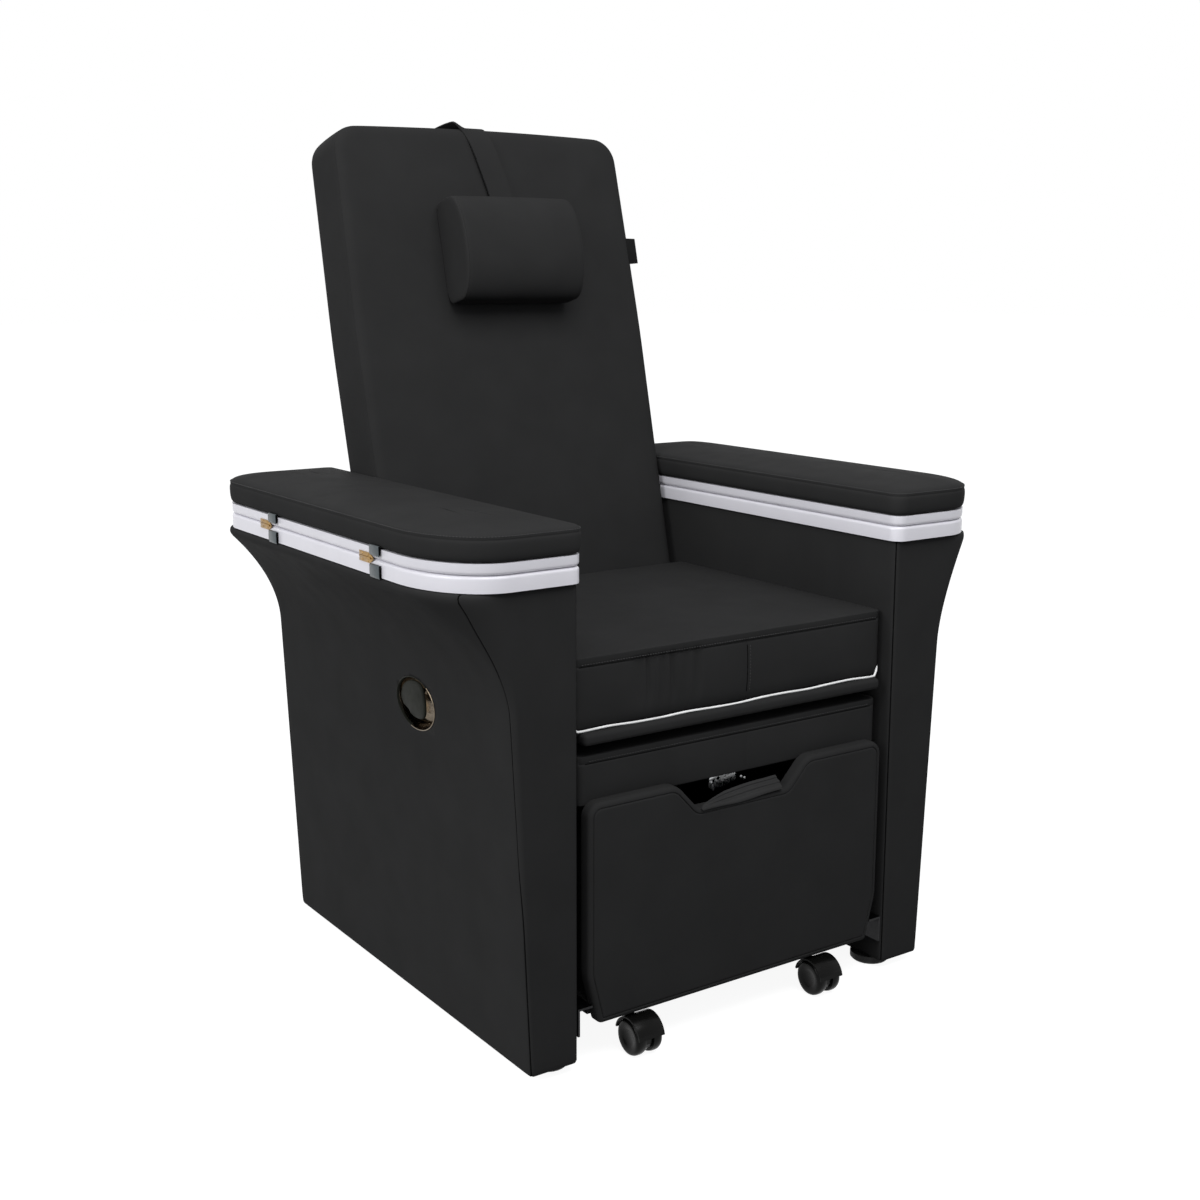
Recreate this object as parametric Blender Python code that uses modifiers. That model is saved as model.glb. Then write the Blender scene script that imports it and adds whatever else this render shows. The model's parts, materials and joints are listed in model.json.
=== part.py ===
"""Pedicure spa chair, built piece by piece.

Metres, +Z up. The sitter faces -Y, X runs across the chair, and the floor is at z = 0.
The base holds two flared arms, the seat deck and the reclining back; under the seat a
trolley on casters rolls out towards -Y and carries the foot pad.
"""
import math

import bmesh
import bpy
from mathutils import Matrix, Vector

# ---------------------------------------------------------------- driving dimensions
GAP = 0.0003                # left between pieces that touch

# overall frame
FRONT_Y = -0.3728           # front faces of the arms
GLIDE_HEIGHT = 0.012        # the arms stand this far above the floor
GLIDE_RADIUS = 0.029
GLIDE_X = 0.2885
GLIDE_INSET = 0.045         # from the front and rear faces of an arm

# arms
ARM_INNER_X = 0.2675
ARM_FOOT_WIDTH = 0.0742
ARM_DEPTH = 0.696
COVER_HEIGHT = 0.6306
SIDE_SLOPE = 0.0427         # how the outer face leans out below the flare
FLARE_DROP = 0.1566         # the flare starts this far under the cover's top
FLARE_RIM = 0.0106          # upright rim left above the flare
FLARE_OUT = 0.081
FLARE_POWER = 1.9
COVER_CORNER = 0.007        # plan radius of the upright corners below the flare
COVER_FRONT_CORNER = (0.076, 0.112)   # at the top of the flare
COVER_LEVELS = 7            # sections through the flare
WALL = 0.012                # padding between the core's cavity and the inner face
CORE_THICKNESS = 0.0254
CABLE_CHANNEL = 0.0243      # free space beside the core
CORE_END = 0.015            # padding in front of and behind the core
CORE_TOP = 0.020            # padding above the core

# armrest bands and pads
BAND_OUTER_X = 0.4530
BAND_PROUD = 0.004          # past the arm's inner face
BAND_FRONT = 0.006          # past the arm's front face
BAND_REAR = 0.005           # short of the arm's rear face
TRAY_THICKNESS = 0.0209
BOARD_THICKNESS = 0.0144
BAND_EDGE = 0.0055          # rounding of the bands' edges
FRONT_CORNER = (0.086, 0.126)
REAR_CORNER = (0.065, 0.065)
INNER_FRONT_CORNER = (0.018, 0.018)
INNER_REAR_CORNER = (0.008, 0.008)
PAD_THICKNESS = 0.0442
PAD_OVERHANG = 0.002
PAD_CROWN = 0.009

# flip hinges and stop brackets of the armrests
PIVOT_OFFSET = 0.005        # hinge axis outside the bands
HINGE_CENTRES = (0.196, 0.5095)
HINGE_LENGTH = 0.045
LEAF_THICKNESS = 0.002
UPPER_LEAF_HEIGHT = 0.0092
LOWER_LEAF_HEIGHT = 0.0138
LEAF_CLEARANCE = 0.001      # between a leaf and the stop bracket beside it
KNUCKLE_RADIUS = 0.004
BRIDGE_STEP = 0.0004        # the barrel's root lies this far inside the plate's faces
HINGE_PIN_RADIUS = 0.0016
BRACKET_CENTRES = (0.171, 0.484)
BRACKET_WIDTH = 0.025
BRACKET_START = 0.0053      # clear of the parting line and of the hinge's barrel
UPPER_BRACKET_HEIGHT = 0.0140
LOWER_BRACKET_HEIGHT = 0.0242

# seat
DECK_BOTTOM = 0.430
DECK_THICKNESS = 0.016
DECK_FRONT = 0.008
DECK_LIP_X = 0.254
DECK_LIP_DEPTH = 0.022
DECK_REAR = 0.520
SEAT_HALF_WIDTH = 0.2665
SEAT_FRONT = 0.020
SEAT_TOP = 0.5375
SEAT_CROWN = 0.007
CREASE_Y = 0.498            # where the seat's top meets the back
CREASE_GAP = 0.001

# reclining back, in its own frame: y behind the pivot, z up along the back
LEAN = math.radians(13.9)
PIVOT_Y = 0.550
PIVOT_Z = 0.472
BACK_FRONT = 0.0662
BACK_REAR = 0.0368
BACK_BOTTOM = 0.020
BACK_TOP = 0.767
BACK_TOP_CROWN = 0.005
BACK_WIDTHS = ((0.020, 0.2585), (0.450, 0.2625), (0.767, 0.2560))   # height, half-width
BACK_CORNER = 0.040
BACK_CROWN = 0.006
BOARD_FRONT = 0.0055
BOARD_DEPTH = 0.015
BOARD_HALF_WIDTH = 0.232
BOARD_BOTTOM = 0.030
BOARD_TOP = 0.738
CHEEK_X = 0.200
CHEEK_THICKNESS = 0.012
CHEEK_DROP = 0.020
TUBE_RADIUS = 0.0125

# gas strut and its crossbar
STRUT_ARM = 0.045           # from the recline pivot back to the strut's upper pin
STRUT_LENGTH = 0.300
STRUT_SLOPE = math.radians(70.0)
STRUT_BARREL_RADIUS = 0.011
STRUT_BARREL_LENGTH = 0.188
STRUT_ROD_RADIUS = 0.004
STRUT_PIN_RADIUS = 0.004
STRUT_EYE_RADIUS = 0.0105
STRUT_FREE_HOLE = 0.0072    # the lug's hole round the upper pin
STRUT_BORE_START = 0.070    # bottom of the barrel's bore, from the strut's foot
STRUT_ROD_START = 0.125     # lower end of the rod, from the strut's foot
FORK_REACH = 0.020          # from the fork's crosspiece to its pin
FORK_EAR_RADIUS = 0.0071
FORK_CROSS = 0.0044         # half the depth of the fork's crosspiece
FORK_CROSS_THICKNESS = 0.004
LUG_THICKNESS = 0.008
EAR_THICKNESS = 0.004
BAR_SIZE = 0.026
BAR_DROP = 0.017            # bar's top below the strut's lower pin

# headrest
PILLOW_X = 0.003
PILLOW_HALF_LENGTH = 0.1065
PILLOW_CENTRE = 0.568
PILLOW_HALF_HEIGHT = 0.081
PILLOW_DEPTH = 0.076
STRAP_WIDTH = 0.042
STRAP_THICKNESS = 0.0025
STRAP_X = -0.014            # at the top; the front part slants over the pillow
STRAP_SLANT = 0.25
STRAP_TAIL = 0.560

# rear panel and guide rails
PANEL_THICKNESS = 0.018
REAR_PANEL_INSET = 0.023
REAR_PANEL_BOTTOM = 0.060
REAR_PANEL_TOP = 0.446
RAIL_BOTTOM = 0.046
RAIL_TOP = 0.084
RAIL_WIDTH = 0.0225
RAIL_THICKNESS = 0.003
RAIL_FRONT = 0.004
RAIL_CLEARANCE = 0.051      # left between a rail's end and the rear panel

# release cup and lever on the left arm, cable to the strut's foot
CUP_Y = 0.253
CUP_DROP = 0.194            # cup's centre below the cover's top
CUP_HALF_LENGTH = 0.053
CUP_HALF_HEIGHT = 0.0365
CUP_RIM = 0.0065
CUP_DEPTH = 0.022
CUP_WALL = 0.002
LEVER_BARREL_RADIUS = 0.003
LEVER_BARREL_Z = 0.018      # above the cup's centre
LEVER_DEPTH = 0.010         # barrel's axis below the rim
LEVER_THICKNESS = 0.004
CABLE_RADIUS = 0.002
CABLE_HOLE = 0.0045

# trolley
TROLLEY_CLEARANCE = 0.0294  # left between the trolley's box and the crossbar behind it
TROLLEY_PANEL_HALF_WIDTH = 0.253
TROLLEY_PANEL_BOTTOM = 0.056
TROLLEY_PANEL_TOP = 0.3565
TROLLEY_PANEL_THICKNESS = 0.018
PANEL_TAPER = 0.017
PANEL_TAPER_HEIGHT = 0.068
PANEL_CORNER = 0.020
PANEL_EDGE = 0.006
CUT_TOP_X = 0.112
CUT_BOTTOM_X = 0.076
CUT_BOTTOM_Z = 0.318
CUT_LIP = 0.030
CUT_FILLET = 0.016
BOX_LEDGE = 0.0089          # the box's floor stands out this far beyond its walls
BOX_WALL = 0.015
BOX_FLOOR = 0.018
BOX_BOTTOM = 0.066
RUNNER_GAP = 0.0008         # side play between the box's floor and the rails
PAD_BOTTOM = 0.3495
FOOT_PAD_TOP = 0.4165
FOOT_PAD_HALF_WIDTH = 0.258
FOOT_PAD_FRONT = 0.0185
FOOT_PAD_CROWN = 0.004
LATCH_X = -0.003
LATCH_WIDTH = 0.047
LATCH_FRONT = 0.0275
LATCH_DEPTH = 0.050
LATCH_DROP = 0.019
LATCH_THICKNESS = 0.003
LATCH_PIN_RADIUS = 0.0028
LATCH_PIN_LENGTH = 0.010
TONGUE_LEFT = -0.0736
TONGUE_RIGHT = 0.070
TONGUE_SLANT_LEFT = 0.036
TONGUE_SLANT_RIGHT = 0.0185
TONGUE_THICKNESS = 0.003

# casters
WHEEL_RADIUS = 0.025
WHEEL_WIDTH = 0.015
WEB_THICKNESS = 0.009
AXLE_RADIUS = 0.003
HOOD_THICKNESS = 0.002
HOOD_GAP = 0.0012
CASTER_TRAIL = 0.027
CASTER_LEFT_X = -0.171
CASTER_RIGHT_X = 0.145
CASTER_FRONT_INSET = 0.028  # swivel axes from the trolley's front and rear faces
CASTER_REAR_INSET = 0.045
STEM_RADIUS = 0.005
COLLAR_RADIUS = 0.0085

# ---------------------------------------------------------------- derived places
REAR_Y = FRONT_Y + ARM_DEPTH
COVER_BOTTOM = GLIDE_HEIGHT
COVER_TOP = COVER_BOTTOM + COVER_HEIGHT
FLARE_START = COVER_HEIGHT - FLARE_DROP
FLARE_END = COVER_HEIGHT - FLARE_RIM
TRAY_BOTTOM = COVER_TOP + GAP
TRAY_TOP = TRAY_BOTTOM + TRAY_THICKNESS
BOARD_LOW = TRAY_TOP + GAP
BOARD_HIGH = BOARD_LOW + BOARD_THICKNESS
PAD_LOW = BOARD_HIGH + GAP
PARTING_Z = TRAY_TOP + GAP / 2
FLIP_X = BAND_OUTER_X + PIVOT_OFFSET
CAVITY_INNER_X = ARM_INNER_X + WALL
CAVITY_OUTER_X = CAVITY_INNER_X + CABLE_CHANNEL + CORE_THICKNESS + GAP
CAVITY_TOP = COVER_TOP - CORE_TOP
DECK_TOP = DECK_BOTTOM + DECK_THICKNESS
RECLINE_PIVOT = Vector((0, FRONT_Y + PIVOT_Y, PIVOT_Z))
STRUT_TOP = RECLINE_PIVOT + Vector((0, STRUT_ARM, 0))
STRUT_DIRECTION = Vector((0, math.cos(STRUT_SLOPE), math.sin(STRUT_SLOPE)))
STRUT_FOOT = STRUT_TOP - STRUT_LENGTH * STRUT_DIRECTION
BAR_TOP = STRUT_FOOT.z - BAR_DROP
RAIL_LENGTH = ARM_DEPTH - RAIL_FRONT - REAR_PANEL_INSET - PANEL_THICKNESS - RAIL_CLEARANCE
TROLLEY_DEPTH = STRUT_FOOT.y - BAR_SIZE / 2 - TROLLEY_CLEARANCE - FRONT_Y
CUP_Z = COVER_TOP - CUP_DROP
CUP_CENTRE_X = ARM_INNER_X + ARM_FOOT_WIDTH + SIDE_SLOPE * (CUP_Z - COVER_BOTTOM)
CUP_TILT = math.atan(SIDE_SLOPE)
FOOT_PAD_LOW = PAD_BOTTOM
BOX_TOP = FOOT_PAD_LOW - GAP
BOX_FRONT = FRONT_Y + TROLLEY_PANEL_THICKNESS + GAP
BOX_REAR = FRONT_Y + TROLLEY_DEPTH
RUNNER_X = ARM_INNER_X - GAP - RAIL_WIDTH - RUNNER_GAP
BOX_HALF_WIDTH = RUNNER_X - BOX_LEDGE
HOOD_OUTER = WHEEL_RADIUS + HOOD_GAP + HOOD_THICKNESS
TWIN_HALF_WIDTH = WEB_THICKNESS / 2 + 0.001 + WHEEL_WIDTH


# ---------------------------------------------------------------- scene and materials
for old in list(bpy.data.objects):
    bpy.data.objects.remove(old, do_unlink=True)

PARTS = bpy.data.collections.new("pedicure_chair")
CUTTERS = bpy.data.collections.new("cutters")
for collection in (PARTS, CUTTERS):
    bpy.context.scene.collection.children.link(collection)


def finish(name, colour, roughness, metallic=0.0):
    """A Principled material with one colour."""
    material = bpy.data.materials.new(name)
    material.use_nodes = True
    shader = material.node_tree.nodes["Principled BSDF"]
    shader.inputs["Base Color"].default_value = (*colour, 1)
    shader.inputs["Roughness"].default_value = roughness
    shader.inputs["Metallic"].default_value = metallic
    return material


VINYL = finish("black_vinyl", (0.03, 0.03, 0.03), 0.5)
LACQUER = finish("white_lacquer", (0.75, 0.74, 0.78), 0.3)
PLYWOOD = finish("plywood", (0.55, 0.38, 0.22), 0.6)
STEEL = finish("black_steel", (0.05, 0.05, 0.055), 0.4, 0.8)
BRIGHT_STEEL = finish("bright_steel", (0.32, 0.35, 0.37), 0.25, 1.0)
BRASS = finish("brass", (0.55, 0.38, 0.14), 0.3, 1.0)
DARK_CHROME = finish("dark_chrome", (0.12, 0.12, 0.12), 0.12, 1.0)
NYLON = finish("black_nylon", (0.012, 0.012, 0.012), 0.3)
RUBBER = finish("black_rubber", (0.02, 0.02, 0.02), 0.7)
LEATHER = finish("black_leather", (0.035, 0.033, 0.032), 0.55)


# ---------------------------------------------------------------- outlines
def arc(centre, radii, start, turn, steps):
    """Points of an arc, angles in degrees, both ends included."""
    points = []
    for i in range(steps + 1):
        angle = math.radians(start + turn * i / steps)
        points.append((centre[0] + radii[0] * math.cos(angle),
                       centre[1] + radii[1] * math.sin(angle)))
    return points


def rounded_plan(low, high, radii, steps, inset=0.0):
    """Rectangle with four elliptic corners, counter-clockwise from the low corner."""
    x0, y0 = low[0] + inset, low[1] + inset
    x1, y1 = high[0] - inset, high[1] - inset
    places = ((x0, y0, 1, 1, 180), (x1, y0, -1, 1, 270), (x1, y1, -1, -1, 0), (x0, y1, 1, -1, 90))
    points = []
    for (x, y, sx, sy, start), (rx, ry), count in zip(places, radii, steps):
        rx = max(rx - inset, 0.001)
        ry = max(ry - inset, 0.001)
        points += arc((x + sx * rx, y + sy * ry), (rx, ry), start, 90, count)
    return points


def filleted(corners):
    """Closed outline from corners (a, b, radius, steps); radius 0 stays sharp."""
    points = []
    for i, (a, b, radius, steps) in enumerate(corners):
        here = Vector((a, b))
        if radius == 0:
            points.append((a, b))
            continue
        before = Vector(corners[i - 1][:2]) - here
        after = Vector(corners[(i + 1) % len(corners)][:2]) - here
        before.normalize()
        after.normalize()
        half = before.angle(after) / 2
        centre = here + (before + after).normalized() * radius / math.sin(half)
        start = here + before * radius / math.tan(half) - centre
        end = here + after * radius / math.tan(half) - centre
        sweep = math.atan2(start.x * end.y - start.y * end.x, start.dot(end))
        for k in range(steps + 1):
            turn = sweep * k / steps
            c, s = math.cos(turn), math.sin(turn)
            points.append((centre.x + start.x * c - start.y * s,
                           centre.y + start.x * s + start.y * c))
    return points


def smooth_route(points, per_span):
    """A smooth curve through the points, with per_span steps between each two."""
    route = []
    ends = [2 * points[0] - points[1]] + points + [2 * points[-1] - points[-2]]
    for i in range(1, len(ends) - 2):
        a, b, c, d = ends[i - 1:i + 3]
        for k in range(per_span):
            t = k / per_span
            route.append(0.5 * (2 * b + (c - a) * t + (2 * a - 5 * b + 4 * c - d) * t ** 2
                                + (3 * b - a - 3 * c + d) * t ** 3))
    route.append(points[-1])
    return route


# ---------------------------------------------------------------- solids
def shape_object(name, bm, material, collection=PARTS, smooth=True):
    """Turn a bmesh into an object with outward faces."""
    bmesh.ops.remove_doubles(bm, verts=bm.verts, dist=1e-6)
    bmesh.ops.recalc_face_normals(bm, faces=bm.faces)
    mesh = bpy.data.meshes.new(name)
    bm.to_mesh(mesh)
    bm.free()
    shape = bpy.data.objects.new(name, mesh)
    collection.objects.link(shape)
    if smooth:
        mesh.shade_smooth()
        mesh.set_sharp_from_angle(angle=math.radians(35))
    if material:
        mesh.materials.append(material)
    if collection is CUTTERS:
        shape.hide_render = True
        shape.display_type = "WIRE"
    return shape


def loft(name, rings, material, collection=PARTS):
    """Skin a list of rings with equal point counts and cap both ends."""
    bm = bmesh.new()
    rows = [[bm.verts.new(point) for point in ring] for ring in rings]
    count = len(rows[0])
    for low, high in zip(rows, rows[1:]):
        for i in range(count):
            j = (i + 1) % count
            bm.faces.new((low[i], low[j], high[j], high[i]))
    bm.faces.new(list(reversed(rows[0])))
    bm.faces.new(rows[-1])
    return shape_object(name, bm, material, collection)


def slab_mesh(outline, axis, low, high, edge=0.0, segments=2, ends="both"):
    """A flat outline given thickness along an axis, with its rims rounded."""
    def place(a, b, height):
        return {"X": (height, a, b), "Y": (a, height, b), "Z": (a, b, height)}[axis]
    bm = bmesh.new()
    base = bm.faces.new([bm.verts.new(place(a, b, low)) for a, b in outline])
    grown = bmesh.ops.extrude_face_region(bm, geom=[base])
    lifted = [item for item in grown["geom"] if isinstance(item, bmesh.types.BMVert)]
    bmesh.ops.translate(bm, verts=lifted, vec=Vector(place(0, 0, high - low)))
    bmesh.ops.recalc_face_normals(bm, faces=bm.faces)
    if edge:
        index = "XYZ".index(axis)
        wanted = {"both": (low, high), "low": (low,), "high": (high,)}[ends]
        rims = [e for e in bm.edges
                if any(all(abs(v.co[index] - level) < 1e-6 for v in e.verts) for level in wanted)]
        bmesh.ops.bevel(bm, geom=rims, offset=edge, segments=segments, profile=0.5,
                        affect="EDGES", clamp_overlap=True)
    return bm


def slab(name, outline, axis, low, high, material, edge=0.0, segments=2, ends="both",
         collection=PARTS):
    bm = slab_mesh(outline, axis, low, high, edge, segments, ends)
    return shape_object(name, bm, material, collection)


def block(name, low, high, material, collection=PARTS, edge=0.0):
    """A box between two corners, with all its edges eased if edge is given."""
    bm = bmesh.new()
    bmesh.ops.create_cube(bm, size=1.0)
    size = Vector(high) - Vector(low)
    centre = (Vector(high) + Vector(low)) / 2
    bmesh.ops.scale(bm, vec=size, verts=bm.verts)
    bmesh.ops.translate(bm, vec=centre, verts=bm.verts)
    if edge:
        bmesh.ops.bevel(bm, geom=bm.edges[:], offset=edge, segments=1, profile=0.5,
                        affect="EDGES", clamp_overlap=True)
    return shape_object(name, bm, material, collection, smooth=False)


def rod(name, radius, start, end, sides, material, collection=PARTS):
    """A round bar between two points."""
    start, end = Vector(start), Vector(end)
    bm = bmesh.new()
    bmesh.ops.create_cone(bm, cap_ends=True, segments=sides, radius1=radius, radius2=radius,
                          depth=(end - start).length)
    turn = Vector((0, 0, 1)).rotation_difference(end - start).to_matrix().to_4x4()
    bmesh.ops.transform(bm, matrix=Matrix.Translation((start + end) / 2) @ turn, verts=bm.verts)
    return shape_object(name, bm, material, collection)


def turned(name, profile, steps, material, collection=PARTS):
    """A profile of (radius, height) points turned about Z with a Screw modifier."""
    mesh = bpy.data.meshes.new(name)
    points = [(radius, 0, height) for radius, height in profile]
    mesh.from_pydata(points, [(i, i + 1) for i in range(len(points) - 1)], [])
    shape = bpy.data.objects.new(name, mesh)
    collection.objects.link(shape)
    mesh.materials.append(material)
    screw = shape.modifiers.new("turn", "SCREW")
    screw.steps = steps
    screw.render_steps = steps
    screw.use_merge_vertices = True
    screw.merge_threshold = 1e-5
    screw.use_normal_calculate = True
    return shape


def bake(shape):
    """Replace an object's modifiers by their result, so that copies can share the mesh."""
    bpy.context.view_layer.update()
    evaluated = shape.evaluated_get(bpy.context.evaluated_depsgraph_get())
    mesh = bpy.data.meshes.new_from_object(evaluated)
    bm = bmesh.new()
    bm.from_mesh(mesh)
    bmesh.ops.remove_doubles(bm, verts=bm.verts, dist=1e-6)
    bmesh.ops.recalc_face_normals(bm, faces=bm.faces)
    bm.to_mesh(mesh)
    bm.free()
    shape.modifiers.clear()
    shape.data = mesh
    return shape


def combine(shape, tool, operation):
    """Boolean one object with a cutter; the cutter stays in its own collection."""
    step = shape.modifiers.new(operation.lower(), "BOOLEAN")
    step.operation = operation
    step.solver = "EXACT"
    step.object = tool
    return shape


def cut(shape, *tools):
    for tool in tools:
        combine(shape, tool, "DIFFERENCE")
    return shape


def join(shape, *tools):
    for tool in tools:
        combine(shape, tool, "UNION")
    return shape


def axis_empty(name, location, rotation=(0, 0, 0), parent=None):
    """An empty on a joint's axis; the moving pieces hang on it."""
    empty = bpy.data.objects.new(name, None)
    empty.location = location
    empty.rotation_euler = rotation
    empty.parent = parent
    PARTS.objects.link(empty)
    bpy.context.view_layer.update()
    return empty


def hang(shape, empty):
    """Parent a piece modelled in world coordinates to an axis, keeping its place."""
    shape.data.transform(empty.matrix_world.inverted())
    shape.parent = empty
    return shape


def soft_block(name, low, high, cuts, edge, material, reshape):
    """A cushion: a gridded box cage, shaped point by point, under one subdivision.

    reshape(u, v, w, point) moves each cage point; u and v run from -1 to 1 across the
    cushion and w from 0 to 1 up it.
    """
    low, high = Vector(low), Vector(high)
    bm = bmesh.new()
    bmesh.ops.create_cube(bm, size=1.0)
    bmesh.ops.scale(bm, vec=high - low, verts=bm.verts)
    bmesh.ops.translate(bm, vec=(low + high) / 2, verts=bm.verts)
    for axis in range(3):
        normal = Vector((0, 0, 0))
        normal[axis] = 1
        inner = [low[axis] + edge + (high[axis] - low[axis] - 2 * edge) * k / cuts[axis]
                 for k in range(cuts[axis] + 1)]
        for level in inner:
            geometry = bm.verts[:] + bm.edges[:] + bm.faces[:]
            bmesh.ops.bisect_plane(bm, geom=geometry, plane_co=normal * level, plane_no=normal)
    middle, half = (low + high) / 2, (high - low) / 2
    for vert in bm.verts:
        point = vert.co
        u = (point.x - middle.x) / half.x
        v = (point.y - middle.y) / half.y
        w = (point.z - low.z) / (high.z - low.z)
        vert.co = reshape(u, v, w, point.copy())
    shape = shape_object(name, bm, material)
    rounder = shape.modifiers.new("soften", "SUBSURF")
    rounder.levels = 1
    rounder.render_levels = 1
    return shape


def bulge(value, power=4):
    """1 in the middle, 0 at the ends, with a flat top."""
    return 1 - abs(value) ** power


# ---------------------------------------------------------------- arms
def cover_outer_x(height):
    """Half-width of the arm's outer face at a height above its bottom."""
    straight = ARM_INNER_X + ARM_FOOT_WIDTH + SIDE_SLOPE * height
    return straight + FLARE_OUT * flare(height) ** FLARE_POWER


def flare(height):
    return min(max(height - FLARE_START, 0) / (FLARE_END - FLARE_START), 1)


def cover_plan(height, inset=0.0):
    """Plan of the right arm's cover at a height above its bottom."""
    reach = flare(height) ** 2
    front = [COVER_CORNER + (full - COVER_CORNER) * reach for full in COVER_FRONT_CORNER]
    rear = [COVER_CORNER + (full - COVER_CORNER) * reach for full in REAR_CORNER]
    corner = (COVER_CORNER, COVER_CORNER)
    return rounded_plan((ARM_INNER_X, FRONT_Y), (cover_outer_x(height), REAR_Y),
                        (corner, front, rear, corner), (2, 6, 4, 2), inset)


def band_plan(inset=0.0):
    """Plan of the right armrest's bands."""
    return rounded_plan((ARM_INNER_X - BAND_PROUD, FRONT_Y - BAND_FRONT),
                        (BAND_OUTER_X, REAR_Y - BAND_REAR),
                        (INNER_FRONT_CORNER, FRONT_CORNER, REAR_CORNER, INNER_REAR_CORNER),
                        (4, 8, 5, 3), inset)


def arm_cover(name, side):
    """Upholstered cover with the flared outer face, open below round its core."""
    eased = 0.003
    heights = [0.0, eased, FLARE_START / 2, FLARE_START]
    for k in range(1, COVER_LEVELS + 1):
        heights.append(FLARE_START + (FLARE_END - FLARE_START) * k / COVER_LEVELS)
    heights += [COVER_HEIGHT - eased, COVER_HEIGHT]
    rings = []
    for height in heights:
        rim = eased if height in (0.0, COVER_HEIGHT) else 0.0
        rings.append([(side * x, y, COVER_BOTTOM + height) for x, y in cover_plan(height, rim)])
    cover = loft(name, rings, VINYL)
    cavity = block(name + "_cavity", (CAVITY_INNER_X, FRONT_Y + CORE_END, COVER_BOTTOM - 0.01),
                   (CAVITY_OUTER_X, REAR_Y - CORE_END, CAVITY_TOP), None, CUTTERS)
    if side < 0:
        cavity.data.transform(Matrix.Scale(-1, 4, (1, 0, 0)))
        cavity.data.flip_normals()
    return cut(cover, cavity)


def arm_core(name, side):
    """Plywood board inside a cover, standing on the glides."""
    inner = CAVITY_OUTER_X - GAP - CORE_THICKNESS
    ends = sorted((side * inner, side * (CAVITY_OUTER_X - GAP)))
    return block(name, (ends[0], FRONT_Y + CORE_END + GAP, COVER_BOTTOM + GAP),
                 (ends[1], REAR_Y - CORE_END - GAP, CAVITY_TOP - GAP), PLYWOOD)


def band(name, side, low, high, axis=None):
    outline = [(side * x, y) for x, y in band_plan()]
    shape = slab(name, outline, "Z", low, high, LACQUER, BAND_EDGE, 2)
    return hang(shape, axis) if axis else shape


def armrest_pad(name, side, axis):
    """Padded top of an armrest: rounded sides, a stitched rim and a low crown."""
    top = PAD_LOW + PAD_THICKNESS - PAD_CROWN
    over = -PAD_OVERHANG
    levels = [(PAD_LOW, 0.004), (PAD_LOW + 0.003, 0.001), (PAD_LOW + 0.009, over),
              (top - 0.015, over - 0.0004), (top - 0.006, over + 0.001), (top - 0.001, over + 0.005),
              (top, over + 0.010), (top + 0.45 * PAD_CROWN, 0.022), (top + 0.8 * PAD_CROWN, 0.040),
              (top + PAD_CROWN, 0.065)]
    rings = []
    for height, inset in levels:
        rings.append([(side * x, y, height) for x, y in band_plan(inset)])
    return hang(loft(name, rings, VINYL), axis)


def hinge_leaf(name, upward, side):
    """One leaf of a flip hinge, about its own axis at the origin, pin along Y.

    The barrel runs on under the stop bracket in front of it; the plate ends short of it.
    """
    sign = 1 if upward else -1
    inner = GAP - PIVOT_OFFSET
    half = HINGE_LENGTH / 2
    third = HINGE_LENGTH / 6
    plate_low = KNUCKLE_RADIUS + 0.0005
    corners = (sign * plate_low, sign * (UPPER_LEAF_HEIGHT if upward else LOWER_LEAF_HEIGHT))
    plate_end = BRACKET_CENTRES[0] + BRACKET_WIDTH / 2 + LEAF_CLEARANCE - HINGE_CENTRES[0]
    leaf = block(name, (inner, side * plate_end, corners[0]),
                 (inner + LEAF_THICKNESS, side * half, corners[1]), BRASS)
    if upward:
        spans = [(-third + GAP, third - GAP)]
    else:
        spans = [(-half, -third - GAP), (third + GAP, half)]
    for k, (start, end) in enumerate(spans):
        reach = sign * (plate_low + 0.001)
        ends = (max(start, plate_end) + BRIDGE_STEP, min(end, half) - BRIDGE_STEP)
        bridge = block(f"{name}_bridge_{k}", (inner + BRIDGE_STEP, side * ends[0], 0),
                       (inner + LEAF_THICKNESS + 0.0008, side * ends[1], reach), None, CUTTERS)
        knuckle = rod(f"{name}_knuckle_{k}", KNUCKLE_RADIUS, (0, side * start, 0),
                      (0, side * end, 0), 16, None, CUTTERS)
        join(leaf, bridge, knuckle)
    pin_end = half - 0.002
    if upward:
        cut(leaf, rod(name + "_bore", HINGE_PIN_RADIUS + 0.0004, (0, -0.05, 0), (0, 0.05, 0),
                      12, None, CUTTERS))
    else:
        join(leaf, rod(name + "_pin", HINGE_PIN_RADIUS, (0, -pin_end, 0), (0, pin_end, 0),
                       12, None, CUTTERS))
    return bake(leaf)


def stop_bracket(name, upward):
    """Bent steel clip whose lip meets its twin when the armrest lies flipped over."""
    sign = 1 if upward else -1
    height = UPPER_BRACKET_HEIGHT if upward else LOWER_BRACKET_HEIGHT
    inner = GAP - PIVOT_OFFSET
    lip = -GAP
    outline = [(inner, BRACKET_START), (lip - 0.0006, BRACKET_START), (lip, BRACKET_START + 0.001),
               (lip, BRACKET_START + LEAF_THICKNESS), (inner + LEAF_THICKNESS,
                                                       BRACKET_START + 0.0045),
               (inner + LEAF_THICKNESS, BRACKET_START + height),
               (inner, BRACKET_START + height)]
    outline = [(x, sign * z) for x, z in outline]
    return slab(name, outline, "Y", -BRACKET_WIDTH / 2, BRACKET_WIDTH / 2, BRIGHT_STEEL)


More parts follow.
